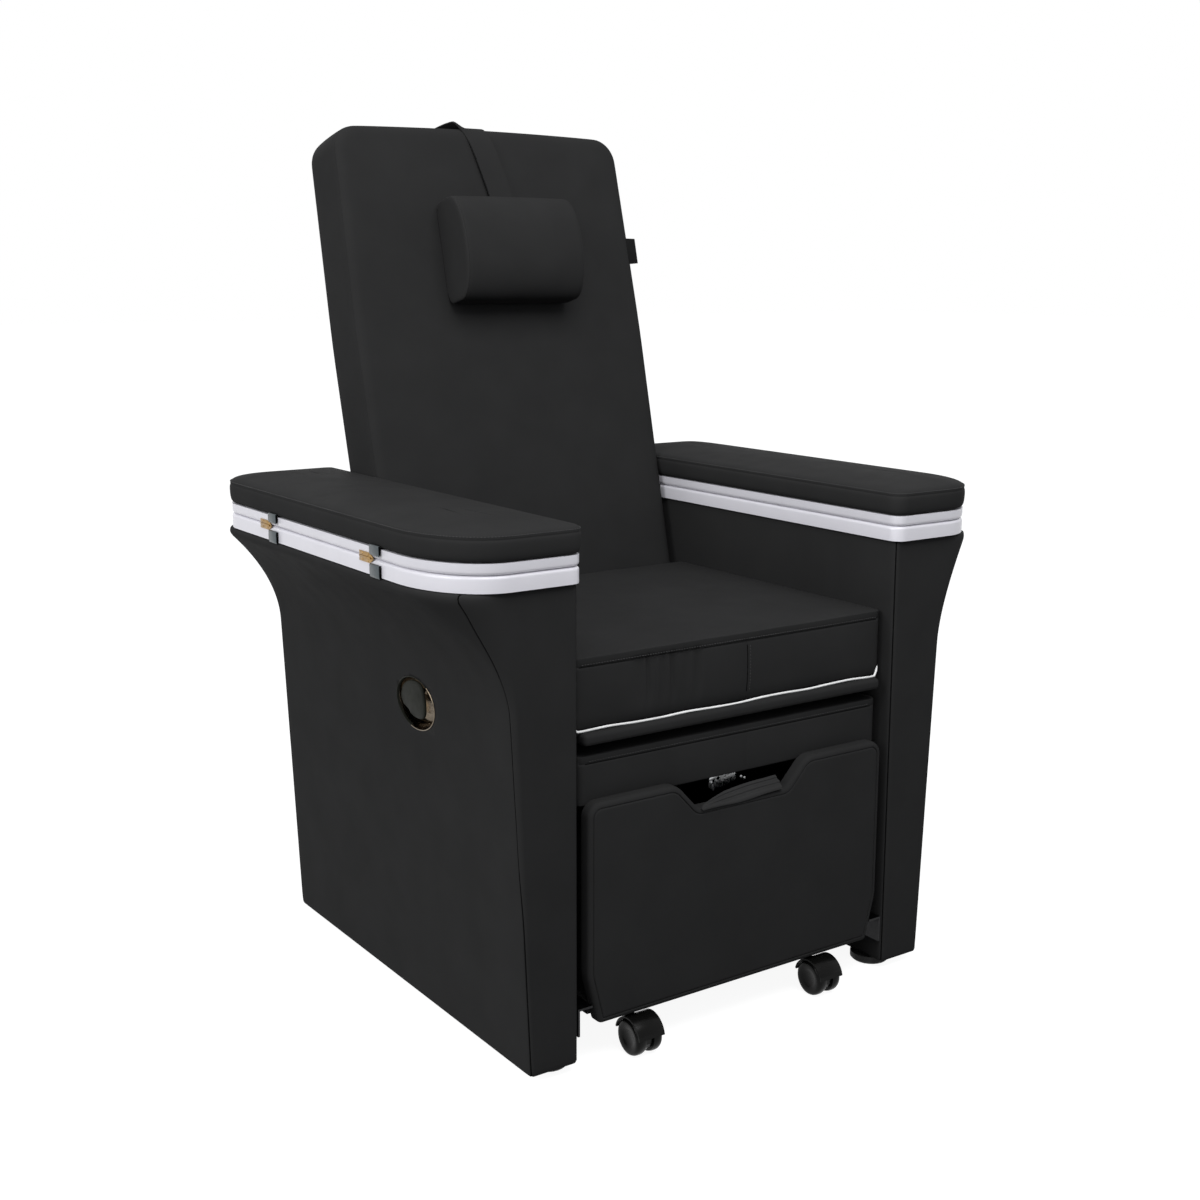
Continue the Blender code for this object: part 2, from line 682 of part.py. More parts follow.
def place_copies(shapes, side_name, side, flip_axis):
    """Put shared hinge and bracket meshes at their places along one armrest."""
    for kind, centres in (("hinge", HINGE_CENTRES), ("bracket", BRACKET_CENTRES)):
        for place, along in zip(("front", "rear"), centres):
            for half in ("lower", "upper"):
                source = shapes[kind, half]
                copy = bpy.data.objects.new(f"{kind}_{half}_{side_name}_{place}", source.data)
                PARTS.objects.link(copy)
                copy.rotation_euler = (0, 0, 0 if side > 0 else math.pi)
                if half == "upper":
                    copy.parent = flip_axis
                    copy.location = (0, FRONT_Y + along - flip_axis.location.y, 0)
                else:
                    copy.location = (side * FLIP_X, FRONT_Y + along, PARTING_Z)


def build_arms():
    for side_name, side in (("left", -1), ("right", 1)):
        shared = {("hinge", "lower"): hinge_leaf("leaf_lower_" + side_name, False, side),
                  ("hinge", "upper"): hinge_leaf("leaf_upper_" + side_name, True, side),
                  ("bracket", "lower"): stop_bracket("clip_lower_" + side_name, False),
                  ("bracket", "upper"): stop_bracket("clip_upper_" + side_name, True)}
        arm_cover("arm_cover_" + side_name, side)
        arm_core("arm_core_" + side_name, side)
        band("arm_tray_" + side_name, side, TRAY_BOTTOM, TRAY_TOP)
        flip_axis = axis_empty("flip_axis_" + side_name,
                               (side * FLIP_X, FRONT_Y + ARM_DEPTH / 2, PARTING_Z))
        band("armrest_board_" + side_name, side, BOARD_LOW, BOARD_HIGH, flip_axis)
        armrest_pad("armrest_pad_" + side_name, side, flip_axis)
        place_copies(shared, side_name, side, flip_axis)
        for place, inset in (("front", GLIDE_INSET), ("rear", ARM_DEPTH - GLIDE_INSET)):
            glide = turned(f"glide_{place}_{side_name}",
                           [(0, GLIDE_HEIGHT - GAP), (GLIDE_RADIUS, GLIDE_HEIGHT - GAP),
                            (GLIDE_RADIUS, 0.003), (GLIDE_RADIUS - 0.003, 0), (0, 0)],
                           24, RUBBER)
            glide.location = (side * GLIDE_X, FRONT_Y + inset, 0)
        guide_rail("guide_rail_" + side_name, side)
        for source in shared.values():
            bpy.data.objects.remove(source, do_unlink=True)


def guide_rail(name, side):
    """Steel angle on an arm's inner face that the trolley's floor runs along."""
    wall = ARM_INNER_X - GAP
    outline = [(wall, RAIL_BOTTOM), (wall, RAIL_TOP), (wall - RAIL_WIDTH, RAIL_TOP),
               (wall - RAIL_WIDTH, RAIL_TOP - RAIL_THICKNESS),
               (wall - RAIL_THICKNESS, RAIL_TOP - RAIL_THICKNESS),
               (wall - RAIL_THICKNESS, RAIL_BOTTOM)]
    outline = [(side * x, z) for x, z in outline]
    return slab(name, outline, "Y", FRONT_Y + RAIL_FRONT, FRONT_Y + RAIL_FRONT + RAIL_LENGTH,
                STEEL)


# ---------------------------------------------------------------- seat and base
def seat_deck():
    wide = ARM_INNER_X - GAP
    lip_end = FRONT_Y + DECK_FRONT + DECK_LIP_DEPTH
    outline = [(-DECK_LIP_X, FRONT_Y + DECK_FRONT), (DECK_LIP_X, FRONT_Y + DECK_FRONT),
               (DECK_LIP_X, lip_end), (wide, lip_end), (wide, FRONT_Y + DECK_REAR),
               (-wide, FRONT_Y + DECK_REAR), (-wide, lip_end), (-DECK_LIP_X, lip_end)]
    return slab("seat_deck", outline, "Z", DECK_BOTTOM, DECK_TOP, VINYL, 0.003, 1)


def seat_cushion():
    """Seat pad: crowned top, sides drawn in between the corners, rear face on the lean."""
    low = (-SEAT_HALF_WIDTH, FRONT_Y + SEAT_FRONT, DECK_TOP + GAP)
    rear = FRONT_Y + CREASE_Y - CREASE_GAP
    high = (SEAT_HALF_WIDTH, rear, SEAT_TOP)
    draw = 0.0025
    belly = 0.0015

    def reshape(u, v, w, point):
        point.z += SEAT_CROWN * bulge(u) * bulge(v) * w
        point.x -= u * abs(u) ** 7 * draw * bulge(v, 2)
        point.x += u * abs(u) ** 7 * belly * (4 * w * (1 - w) - 1)
        if v < 0:
            point.y += abs(v) ** 7 * (draw * bulge(u, 2) - belly * (4 * w * (1 - w) - 1))
        else:
            point.y += v * (point.z - SEAT_TOP) * math.tan(LEAN) * abs(v) ** 3
        return point

    return soft_block("seat_cushion", low, high, (5, 5, 2), 0.014, VINYL, reshape)


def pivot_tube():
    half = ARM_INNER_X - GAP
    return rod("pivot_tube", TUBE_RADIUS, RECLINE_PIVOT - Vector((half, 0, 0)),
               RECLINE_PIVOT + Vector((half, 0, 0)), 24, STEEL)


def rear_panel():
    wide = ARM_INNER_X - GAP
    rear = REAR_Y - REAR_PANEL_INSET
    return block("rear_panel", (-wide, rear - PANEL_THICKNESS, REAR_PANEL_BOTTOM),
                 (wide, rear, REAR_PANEL_TOP), VINYL, edge=0.002)


def base_bar():
    """Crossbar between the arms with two ears and a pin for the strut's foot."""
    wide = ARM_INNER_X - GAP
    bar = block("base_bar", (-wide, STRUT_FOOT.y - BAR_SIZE / 2, BAR_TOP - BAR_SIZE),
                (wide, STRUT_FOOT.y + BAR_SIZE / 2, BAR_TOP), STEEL)
    inner = LUG_THICKNESS / 2 + GAP
    outline = [(STRUT_FOOT.y - 0.010, BAR_TOP - 0.004), (STRUT_FOOT.y + 0.010, BAR_TOP - 0.004)]
    outline += arc((STRUT_FOOT.y, STRUT_FOOT.z), (STRUT_EYE_RADIUS, STRUT_EYE_RADIUS), 0, 180, 8)
    for k, sign in enumerate((-1, 1)):
        ends = sorted((sign * inner, sign * (inner + EAR_THICKNESS)))
        join(bar, slab(f"bar_ear_{k}", outline, "X", ends[0], ends[1], None, collection=CUTTERS))
    reach = inner + EAR_THICKNESS / 2
    join(bar, rod("bar_pin", STRUT_PIN_RADIUS, STRUT_FOOT - Vector((reach, 0, 0)),
                  STRUT_FOOT + Vector((reach, 0, 0)), 16, None, CUTTERS))
    return bar


def strut_cylinder():
    """Gas strut barrel: an eye at its foot and a bore open at the top for the rod."""
    start = STRUT_FOOT + STRUT_DIRECTION * STRUT_EYE_RADIUS
    end = STRUT_FOOT + STRUT_DIRECTION * STRUT_BARREL_LENGTH
    barrel = rod("strut_cylinder", STRUT_BARREL_RADIUS, start, end, 20, STEEL)
    half = LUG_THICKNESS / 2
    eye = rod("strut_eye", STRUT_EYE_RADIUS, STRUT_FOOT - Vector((half, 0, 0)),
              STRUT_FOOT + Vector((half, 0, 0)), 20, None, CUTTERS)
    neck_end = start + STRUT_DIRECTION * 0.004
    neck = rod("strut_neck", half * 0.9, STRUT_FOOT, neck_end, 12, None, CUTTERS)
    hole = rod("strut_eye_hole", STRUT_PIN_RADIUS + GAP,
               STRUT_FOOT - Vector((LUG_THICKNESS, 0, 0)),
               STRUT_FOOT + Vector((LUG_THICKNESS, 0, 0)), 16, None, CUTTERS)
    bore_start = STRUT_FOOT + STRUT_DIRECTION * STRUT_BORE_START
    bore = rod("strut_bore", STRUT_ROD_RADIUS + GAP, bore_start, end + STRUT_DIRECTION * 0.01,
               16, None, CUTTERS)
    return cut(join(barrel, eye, neck), hole, bore)


def strut_rod(axis):
    """Gas strut rod with a fork whose pin goes through the back frame's lug."""
    saddle = STRUT_TOP - STRUT_DIRECTION * FORK_REACH
    start = STRUT_FOOT + STRUT_DIRECTION * STRUT_ROD_START
    shaft = rod("strut_rod", STRUT_ROD_RADIUS, start, saddle, 16, BRIGHT_STEEL)
    inner = LUG_THICKNESS / 2 + GAP
    outer = inner + EAR_THICKNESS
    join(shaft, rod("fork_saddle", 0.0055, saddle - STRUT_DIRECTION * 0.005,
                    saddle + STRUT_DIRECTION * 0.001, 12, None, CUTTERS))
    half = FORK_CROSS_THICKNESS / 2
    cross = block("fork_cross", (0.0006 - outer, -FORK_CROSS, -half),
                  (outer - 0.0006, FORK_CROSS, half), None, CUTTERS)
    turn = Vector((0, 0, 1)).rotation_difference(STRUT_DIRECTION).to_matrix().to_4x4()
    cross.data.transform(Matrix.Translation(saddle) @ turn)
    join(shaft, cross)
    low = saddle - STRUT_DIRECTION * 0.003
    across = Vector((0, STRUT_DIRECTION.z, -STRUT_DIRECTION.y)) * 0.005
    ear = [((low + across).y, (low + across).z)]
    ear += arc((STRUT_TOP.y, STRUT_TOP.z), (FORK_EAR_RADIUS, FORK_EAR_RADIUS),
               math.degrees(STRUT_SLOPE) - 135, 270, 10)
    ear += [((low - across).y, (low - across).z)]
    for k, sign in enumerate((-1, 1)):
        ends = sorted((sign * inner, sign * outer))
        join(shaft, slab(f"fork_ear_{k}", ear, "X", ends[0], ends[1], None, collection=CUTTERS))
    reach = inner + EAR_THICKNESS / 2
    join(shaft, rod("fork_pin", STRUT_PIN_RADIUS, STRUT_TOP - Vector((reach, 0, 0)),
                    STRUT_TOP + Vector((reach, 0, 0)), 16, None, CUTTERS))
    return hang(bake(shaft), axis)


# ---------------------------------------------------------------- reclining back
def back_frame(axis):
    """Plywood back board with three cheeks bored for the pivot tube, in the back's frame."""
    rear = BOARD_DEPTH - BOARD_FRONT
    board = block("back_frame", (-BOARD_HALF_WIDTH, -BOARD_FRONT, BOARD_BOTTOM),
                  (BOARD_HALF_WIDTH, rear, BOARD_TOP), PLYWOOD)
    overlap = BOARD_BOTTOM + 0.01
    shoulder = BACK_BOTTOM - 0.003
    cheek = filleted([(-BOARD_FRONT, overlap, 0, 0), (-BOARD_FRONT, shoulder, 0, 0),
                      (-0.018, shoulder, 0, 0), (-0.018, -CHEEK_DROP, 0.008, 3),
                      (0.018, -CHEEK_DROP, 0.008, 3), (0.018, BACK_BOTTOM - 0.004, 0, 0),
                      (rear, BACK_BOTTOM - 0.004, 0, 0), (rear, overlap, 0, 0)])
    pin_y = STRUT_ARM * math.cos(LEAN)
    pin_z = STRUT_ARM * math.sin(LEAN)
    eye = arc((pin_y, pin_z), (0.0115, 0.0115), -90, 180, 8)
    arm = [(-BOARD_FRONT, overlap), (-BOARD_FRONT, shoulder), (-0.018, shoulder),
           (-0.018, -0.012), (-0.010, -0.018), (0.006, -0.018), (0.016, -0.010)] + eye
    arm += [(BACK_REAR + GAP, pin_z + 0.009), (BACK_REAR + GAP, BACK_BOTTOM - 0.001),
            (rear, BACK_BOTTOM - 0.001), (rear, overlap)]
    for k, x in enumerate((-CHEEK_X, CHEEK_X)):
        join(board, slab(f"cheek_{k}", cheek, "X", x - CHEEK_THICKNESS / 2,
                         x + CHEEK_THICKNESS / 2, None, collection=CUTTERS))
    join(board, slab("strut_lug", arm, "X", -LUG_THICKNESS / 2, LUG_THICKNESS / 2, None,
                     collection=CUTTERS))
    cut(board, rod("tube_bore", TUBE_RADIUS + GAP, (-0.3, 0, 0), (0.3, 0, 0), 24, None, CUTTERS),
        rod("lug_hole", STRUT_FREE_HOLE, (-LUG_THICKNESS, pin_y, pin_z),
            (LUG_THICKNESS, pin_y, pin_z), 16, None, CUTTERS))
    bake(board)
    board.parent = axis
    return board


def back_half_width(height):
    """Half-width of the back at a height along it."""
    for (low, narrow), (high, wide) in zip(BACK_WIDTHS, BACK_WIDTHS[1:]):
        if height <= high:
            break
    return narrow + (wide - narrow) * (height - low) / (high - low)


def back_outline(inset=0.0):
    """Outline of the back seen from the front: bowed sides, rounded top corners."""
    bottom, top = BACK_BOTTOM + inset, BACK_TOP - inset
    radius = max(BACK_CORNER - inset, 0.004)
    low, high = back_half_width(bottom) - inset, back_half_width(top) - inset
    side = []
    for share in (0.25, 0.5, 0.75):
        height = bottom + (top - bottom) * share
        side.append((back_half_width(height) - inset, height, 0, 0))
    corners = [(-low, bottom, 0.006, 1), (-low / 2, bottom, 0, 0), (0, bottom, 0, 0),
               (low / 2, bottom, 0, 0), (low, bottom, 0.006, 1)] + side
    corners += [(high, top, radius, 6), (high / 2, top + 0.75 * BACK_TOP_CROWN, 0, 0),
                (0, top + BACK_TOP_CROWN, 0, 0), (-high / 2, top + 0.75 * BACK_TOP_CROWN, 0, 0),
                (-high, top, radius, 6)]
    corners += [(-x, z, radius, steps) for x, z, radius, steps in reversed(side)]
    return filleted(corners)


def back_cushion(axis):
    """Front cushion of the back: rounded border, side bolsters and a low crown."""
    rear = -BOARD_FRONT - GAP
    front = BACK_CROWN - BACK_FRONT
    levels = [(rear, 0.004), (rear - 0.004, 0.0006), (front + 0.026, 0.0), (front + 0.012, 0.002),
              (front + 0.004, 0.007), (front + 0.0005, 0.014), (front + 0.0012, 0.030),
              (front - 0.3 * BACK_CROWN, 0.050), (front - 0.8 * BACK_CROWN, 0.085),
              (front - BACK_CROWN, 0.120)]
    rings = [[(x, depth, z) for x, z in back_outline(inset)] for depth, inset in levels]
    cushion = loft("back_cushion", rings, VINYL)
    cushion.parent = axis
    return cushion


def back_shell(axis):
    """Upholstered rear shell of the back, hollow for the board and open at the bottom."""
    shell = slab("back_shell", back_outline(), "Y", -BOARD_FRONT, BACK_REAR, VINYL, 0.010, 2,
                 "high")
    hollow = block("shell_hollow", (-BOARD_HALF_WIDTH - GAP, -BOARD_FRONT - 0.01, 0),
                   (BOARD_HALF_WIDTH + GAP, BOARD_DEPTH - BOARD_FRONT + GAP, BOARD_TOP + GAP),
                   None, CUTTERS)
    hollow.parent = axis
    shell.parent = axis
    return cut(shell, hollow)


def pillow(axis):
    """Half-round headrest roll with rounded ends and a flat back on the cushion."""
    flat = -BACK_FRONT - GAP
    radii = ((0.060, 0.074), (0.014, 0.014), (0.014, 0.014), (0.060, 0.074))
    stations = [(1.0, 0.76), (0.988, 0.87), (0.955, 0.95), (0.88, 0.99), (0.55, 1.0), (0.0, 1.02)]
    stations = [(-u, s) for u, s in stations[:-1]] + [stations[-1]] + \
        [(u, s) for u, s in reversed(stations[:-1])]
    rings = []
    for along, swell in stations:
        depth = PILLOW_DEPTH * (0.5 + 0.5 * swell) / 1.01
        half = PILLOW_HALF_HEIGHT * (0.6 + 0.4 * swell) / 1.01
        outline = rounded_plan((flat - depth, PILLOW_CENTRE - half), (flat, PILLOW_CENTRE + half),
                               radii, (6, 2, 2, 6))
        rings.append([(PILLOW_X + along * PILLOW_HALF_LENGTH, y, z) for y, z in outline])
    roll = loft("headrest_pillow", rings, VINYL)
    roll.parent = axis
    return roll


def headrest_strap(axis):
    """Flat strap from the pillow over the top of the back and down behind it."""
    front = -BACK_FRONT - GAP
    rear = BACK_REAR + GAP
    top = BACK_TOP + BACK_TOP_CROWN + GAP
    start = PILLOW_CENTRE + PILLOW_HALF_HEIGHT + GAP

    def route(offset):
        path = [(front - offset, start)]
        for x, radius, angle in ((front, 0.020, 180), (rear, 0.008, 90)):
            centre = (x + radius if angle == 180 else x - radius, top - radius)
            path += arc(centre, (radius + offset, radius + offset), angle, -90, 6)
        return path + [(rear + offset, STRAP_TAIL)]

    outline = route(STRAP_THICKNESS) + list(reversed(route(0.0)))
    strap = slab("headrest_strap", outline, "X", STRAP_X - STRAP_WIDTH / 2,
                 STRAP_X + STRAP_WIDTH / 2, VINYL)
    for vert in strap.data.vertices:
        if vert.co.y < front + 0.004:
            vert.co.x += STRAP_SLANT * (BACK_TOP - vert.co.z)
    strap.parent = axis
    return strap


# ---------------------------------------------------------------- release cup and lever
def cup_matrix():
    """Places the cup's own frame (z outwards) on the left arm's outer face."""
    turn = Matrix.Rotation(-math.pi / 2 - CUP_TILT, 4, "Y")
    return Matrix.Translation((-CUP_CENTRE_X, FRONT_Y + CUP_Y, CUP_Z)) @ turn


def oval(shrink, depth, steps=28):
    """An oval ring of the cup; x is up the arm in the cup's own frame."""
    return [(x, y, depth) for x, y in arc((0, 0), (CUP_HALF_HEIGHT - shrink,
                                                    CUP_HALF_LENGTH - shrink), 0, 360, steps)[:-1]]


def release_cup():
    """Pressed metal cup let into the cover, with a flat rim."""
    rings = [oval(CUP_RIM + 0.008, CUP_WALL - CUP_DEPTH), oval(CUP_RIM + 0.003, 0.006 - CUP_DEPTH),
             oval(CUP_RIM, 0.0), oval(CUP_RIM - 0.001, 0.0025), oval(0.002, 0.0025),
             oval(0.0, 0.0012), oval(0.0, GAP), oval(CUP_RIM - CUP_WALL, GAP),
             oval(CUP_RIM + 0.003 - CUP_WALL, 0.006 - CUP_DEPTH),
             oval(CUP_RIM + 0.008 - CUP_WALL, -CUP_DEPTH)]
    cup = loft("release_cup", rings, DARK_CHROME)
    cup.data.transform(cup_matrix())
    return cup


def cup_pocket():
    """Room for the cup in the left cover."""
    rings = [oval(CUP_RIM - CUP_WALL - GAP, 0.02), oval(CUP_RIM - CUP_WALL - GAP, 0.0),
             oval(CUP_RIM + 0.003 - CUP_WALL - GAP, 0.006 - CUP_DEPTH),
             oval(CUP_RIM + 0.008 - CUP_WALL - GAP, -CUP_DEPTH - GAP)]
    pocket = loft("cup_pocket", rings, None, CUTTERS)
    pocket.data.transform(cup_matrix())
    return pocket


def release_lever():
    """Paddle hinged inside the cup on a barrel along Y; its lower edge is pulled out."""
    axis_place = cup_matrix() @ Vector((LEVER_BARREL_Z, 0, -LEVER_DEPTH))
    axis = axis_empty("lever_axis", axis_place)
    half = 0.0285
    outline = filleted([(LEVER_BARREL_Z, -0.016, 0, 0), (LEVER_BARREL_Z, 0.016, 0, 0),
                        (0.004, 0.016, 0, 0), (0.004, 0.022, 0.004, 2), (-0.010, 0.022, 0.004, 2),
                        (-0.012, 0.014, 0, 0), (-0.022, 0.012, 0.004, 2),
                        (-0.022, -0.012, 0.004, 2), (-0.012, -0.014, 0, 0),
                        (-0.010, -0.022, 0.004, 2), (0.004, -0.022, 0.004, 2),
                        (0.004, -0.016, 0, 0)])
    top = LEVER_THICKNESS / 2 - LEVER_DEPTH
    paddle = slab("release_lever", outline, "Z", top - LEVER_THICKNESS, top, DARK_CHROME,
                  0.001, 1, "high")
    barrel = rod("lever_barrel", LEVER_BARREL_RADIUS, (LEVER_BARREL_Z, -half, -LEVER_DEPTH),
                 (LEVER_BARREL_Z, half, -LEVER_DEPTH), 12, None, CUTTERS)
    bake(join(paddle, barrel))
    paddle.data.transform(cup_matrix())
    return hang(paddle, axis)


CABLE_CHANNEL_X = -(CAVITY_INNER_X + CABLE_CHANNEL / 2)


def cable_points():
    """Route of the release cable from the cup's back to the strut's foot."""
    start = cup_matrix() @ Vector((0, 0, -CUP_DEPTH - 2 * GAP))
    ear = -(LUG_THICKNESS / 2 + GAP + EAR_THICKNESS + GAP)
    foot = Vector((ear, STRUT_FOOT.y, STRUT_FOOT.z))
    bend = CABLE_CHANNEL / 2
    return [start, Vector((start.x + 0.012, start.y, start.z)),
            Vector((CABLE_CHANNEL_X - bend, start.y + 0.001, start.z - 0.001)),
            Vector((CABLE_CHANNEL_X - 0.002, start.y + 0.010, start.z - 0.012)),
            Vector((CABLE_CHANNEL_X, start.y + 0.045, start.z - 0.060)),
            Vector((CABLE_CHANNEL_X, foot.y - 0.070, foot.z + 0.090)),
            Vector((CABLE_CHANNEL_X, foot.y - 0.018, foot.z + 0.020)),
            Vector((CABLE_CHANNEL_X + 0.004, foot.y - 0.002, foot.z + 0.003)),
            Vector((CABLE_CHANNEL_X + bend + WALL / 2, foot.y, foot.z)),
            Vector((-ARM_INNER_X + 0.030, foot.y, foot.z)),
            Vector((-0.130, foot.y, foot.z)), foot]


def release_cable():
    curve = bpy.data.curves.new("release_cable", "CURVE")
    curve.dimensions = "3D"
    curve.bevel_depth = CABLE_RADIUS
    curve.bevel_resolution = 1
    curve.use_fill_caps = True
    route = smooth_route(cable_points(), 4)
    spline = curve.splines.new("POLY")
    spline.points.add(len(route) - 1)
    for point, place in zip(spline.points, route):
        point.co = (*place, 1)
    cable = bpy.data.objects.new("release_cable", curve)
    curve.materials.append(RUBBER)
    PARTS.objects.link(cable)
    return cable


def build_release():
    """Cup, lever and cable, with their holes in the left cover and core."""
    cover = PARTS.objects["arm_cover_left"]
    core = PARTS.objects["arm_core_left"]
    start = cable_points()[0]
    foot = cable_points()[-1]
    entry = rod("cable_entry", CABLE_HOLE, (start.x - 0.004, start.y, start.z),
                (CABLE_CHANNEL_X - 0.004, start.y, start.z), 12, None, CUTTERS)
    leave = rod("cable_exit", CABLE_HOLE, (CABLE_CHANNEL_X, foot.y, foot.z),
                (-ARM_INNER_X + 0.01, foot.y, foot.z), 12, None, CUTTERS)
    cut(cover, cup_pocket(), entry, leave)
    cut(core, entry)
    release_cup()
    release_lever()
    release_cable()


# ---------------------------------------------------------------- trolley and foot pad
def trolley_panel():
    """Upholstered front panel with the hand cut-out in its top edge."""
    wide = TROLLEY_PANEL_HALF_WIDTH
    low, top = TROLLEY_PANEL_BOTTOM, TROLLEY_PANEL_TOP
    shoulder = low + PANEL_TAPER_HEIGHT
    outline = filleted([
        (-wide + PANEL_TAPER, low, 0.008, 2), (wide - PANEL_TAPER, low, 0.008, 2),
        (wide, shoulder, 0.060, 3), (wide, top, PANEL_CORNER, 5),
        (CUT_TOP_X, top, CUT_LIP, 4), (CUT_BOTTOM_X, CUT_BOTTOM_Z, CUT_FILLET, 4),
        (-CUT_BOTTOM_X, CUT_BOTTOM_Z, CUT_FILLET, 4), (-CUT_TOP_X, top, CUT_LIP, 4),
        (-wide, top, PANEL_CORNER, 5), (-wide, shoulder, 0.060, 3)])
    return slab("trolley_panel", outline, "Y", FRONT_Y, FRONT_Y + TROLLEY_PANEL_THICKNESS, VINYL,
                PANEL_EDGE, 2, "low")


def trolley_box():
    """Vinyl-wrapped box behind the panel: floor, two sides and a rear wall, open above."""
    box = block("trolley_box", (-BOX_HALF_WIDTH, BOX_FRONT, BOX_BOTTOM),
                (BOX_HALF_WIDTH, BOX_REAR, BOX_TOP), VINYL)
    floor = block("box_floor", (-RUNNER_X, BOX_FRONT, BOX_BOTTOM),
                  (RUNNER_X, BOX_REAR, BOX_BOTTOM + BOX_FLOOR), None, CUTTERS)
    room = block("box_room", (-BOX_HALF_WIDTH + BOX_WALL, BOX_FRONT - 0.01, BOX_BOTTOM + BOX_FLOOR),
                 (BOX_HALF_WIDTH - BOX_WALL, BOX_REAR - BOX_WALL, BOX_TOP + 0.01), None, CUTTERS)
    join(box, floor)
    cut(box, room)
    for k, (x, y) in enumerate(caster_places()):
        cut(box, rod(f"stem_hole_{k}", STEM_RADIUS + GAP, (x, y, BOX_BOTTOM - 0.01),
                     (x, y, BOX_BOTTOM + BOX_FLOOR - 0.003), 12, None, CUTTERS))
    return box


def foot_pad():
    """Padded foot rest lying on the trolley's box."""
    low = (-FOOT_PAD_HALF_WIDTH, FRONT_Y + FOOT_PAD_FRONT, FOOT_PAD_LOW)
    high = (FOOT_PAD_HALF_WIDTH, BOX_REAR, FOOT_PAD_TOP - FOOT_PAD_CROWN)
    draw = 0.003

    def reshape(u, v, w, point):
        point.z += FOOT_PAD_CROWN * bulge(u) * bulge(v) * w
        point.x -= u * abs(u) ** 7 * draw * bulge(v, 2)
        point.y -= v * abs(v) ** 7 * draw * bulge(u, 2)
        return point

    return soft_block("foot_pad", low, high, (5, 4, 1), 0.010, VINYL, reshape)


def latch(axis):
    """Spring bolt plate under the foot pad: flange with two holes and a pin below it."""
    x0, x1 = LATCH_X - LATCH_WIDTH / 2, LATCH_X + LATCH_WIDTH / 2
    front = FRONT_Y + LATCH_FRONT
    top = FOOT_PAD_LOW - GAP
    plate = block("latch", (x0, front, top - LATCH_THICKNESS), (x1, front + LATCH_DEPTH, top),
                  BRIGHT_STEEL)
    flange = block("latch_flange", (x0, front, top - LATCH_DROP),
                   (x1, front + LATCH_THICKNESS, top - 0.001), None, CUTTERS)
    pin_x = x0 + 0.006
    pin_y = front + LATCH_THICKNESS / 2 + 0.002
    pin = rod("latch_pin", LATCH_PIN_RADIUS, (pin_x, pin_y, top - LATCH_DROP + 0.004),
              (pin_x, pin_y, top - LATCH_DROP - LATCH_PIN_LENGTH), 12, None, CUTTERS)
    join(plate, flange, pin)
    for k, x in enumerate((pin_x + 0.0065, pin_x + 0.030)):
        cut(plate, rod(f"latch_hole_{k}", 0.0022, (x, front - 0.01, top - 0.0142),
                       (x, front + 0.01, top - 0.0142), 10, None, CUTTERS))
    return hang(bake(plate), axis)


def tongue_route():
    """Centre line (y, z) of the pull tongue, from the flange out over the cut-out's edge."""
    behind = FRONT_Y + LATCH_FRONT - TONGUE_THICKNESS / 2 - GAP
    rest = CUT_BOTTOM_Z + TONGUE_THICKNESS / 2 + 0.0008
    return [(behind, FOOT_PAD_LOW - 0.0145), (behind - 0.0006, FOOT_PAD_LOW - 0.019),
            (behind - 0.006, rest + 0.004), (FRONT_Y + 0.011, rest + 0.0006),
            (FRONT_Y + 0.002, rest - 0.0006), (FRONT_Y - 0.0035, rest - 0.0035)]


def pull_tongue(axis):
    """Leather tab that the hand pulls, bent forward out of the cut-out."""
    line = tongue_route()
    half = TONGUE_THICKNESS / 2
    upper, lower = [], []
    for i, (y, z) in enumerate(line):
        ahead = Vector(line[min(i + 1, len(line) - 1)])
        behind = Vector(line[max(i - 1, 0)])
        along = (ahead - behind).normalized()
        upper.append((y + along.y * half, z - along.x * half))
        lower.append((y - along.y * half, z + along.x * half))
    outline = upper + list(reversed(lower))
    tab = slab("pull_tongue", outline, "X", TONGUE_LEFT, TONGUE_RIGHT, LEATHER)
    low, high = line[-2][1], line[0][1]
    for vert in tab.data.vertices:
        share = min(max((vert.co.z - low) / (high - low), 0), 1)
        vert.co.x += share * (TONGUE_SLANT_LEFT if vert.co.x < 0 else -TONGUE_SLANT_RIGHT)
    return hang(tab, axis)


# ---------------------------------------------------------------- casters
def caster_places():
    front, rear = FRONT_Y + CASTER_FRONT_INSET, BOX_REAR - CASTER_REAR_INSET
    return [(CASTER_LEFT_X, front), (CASTER_RIGHT_X, front), (CASTER_LEFT_X, rear),
            (CASTER_RIGHT_X, rear)]


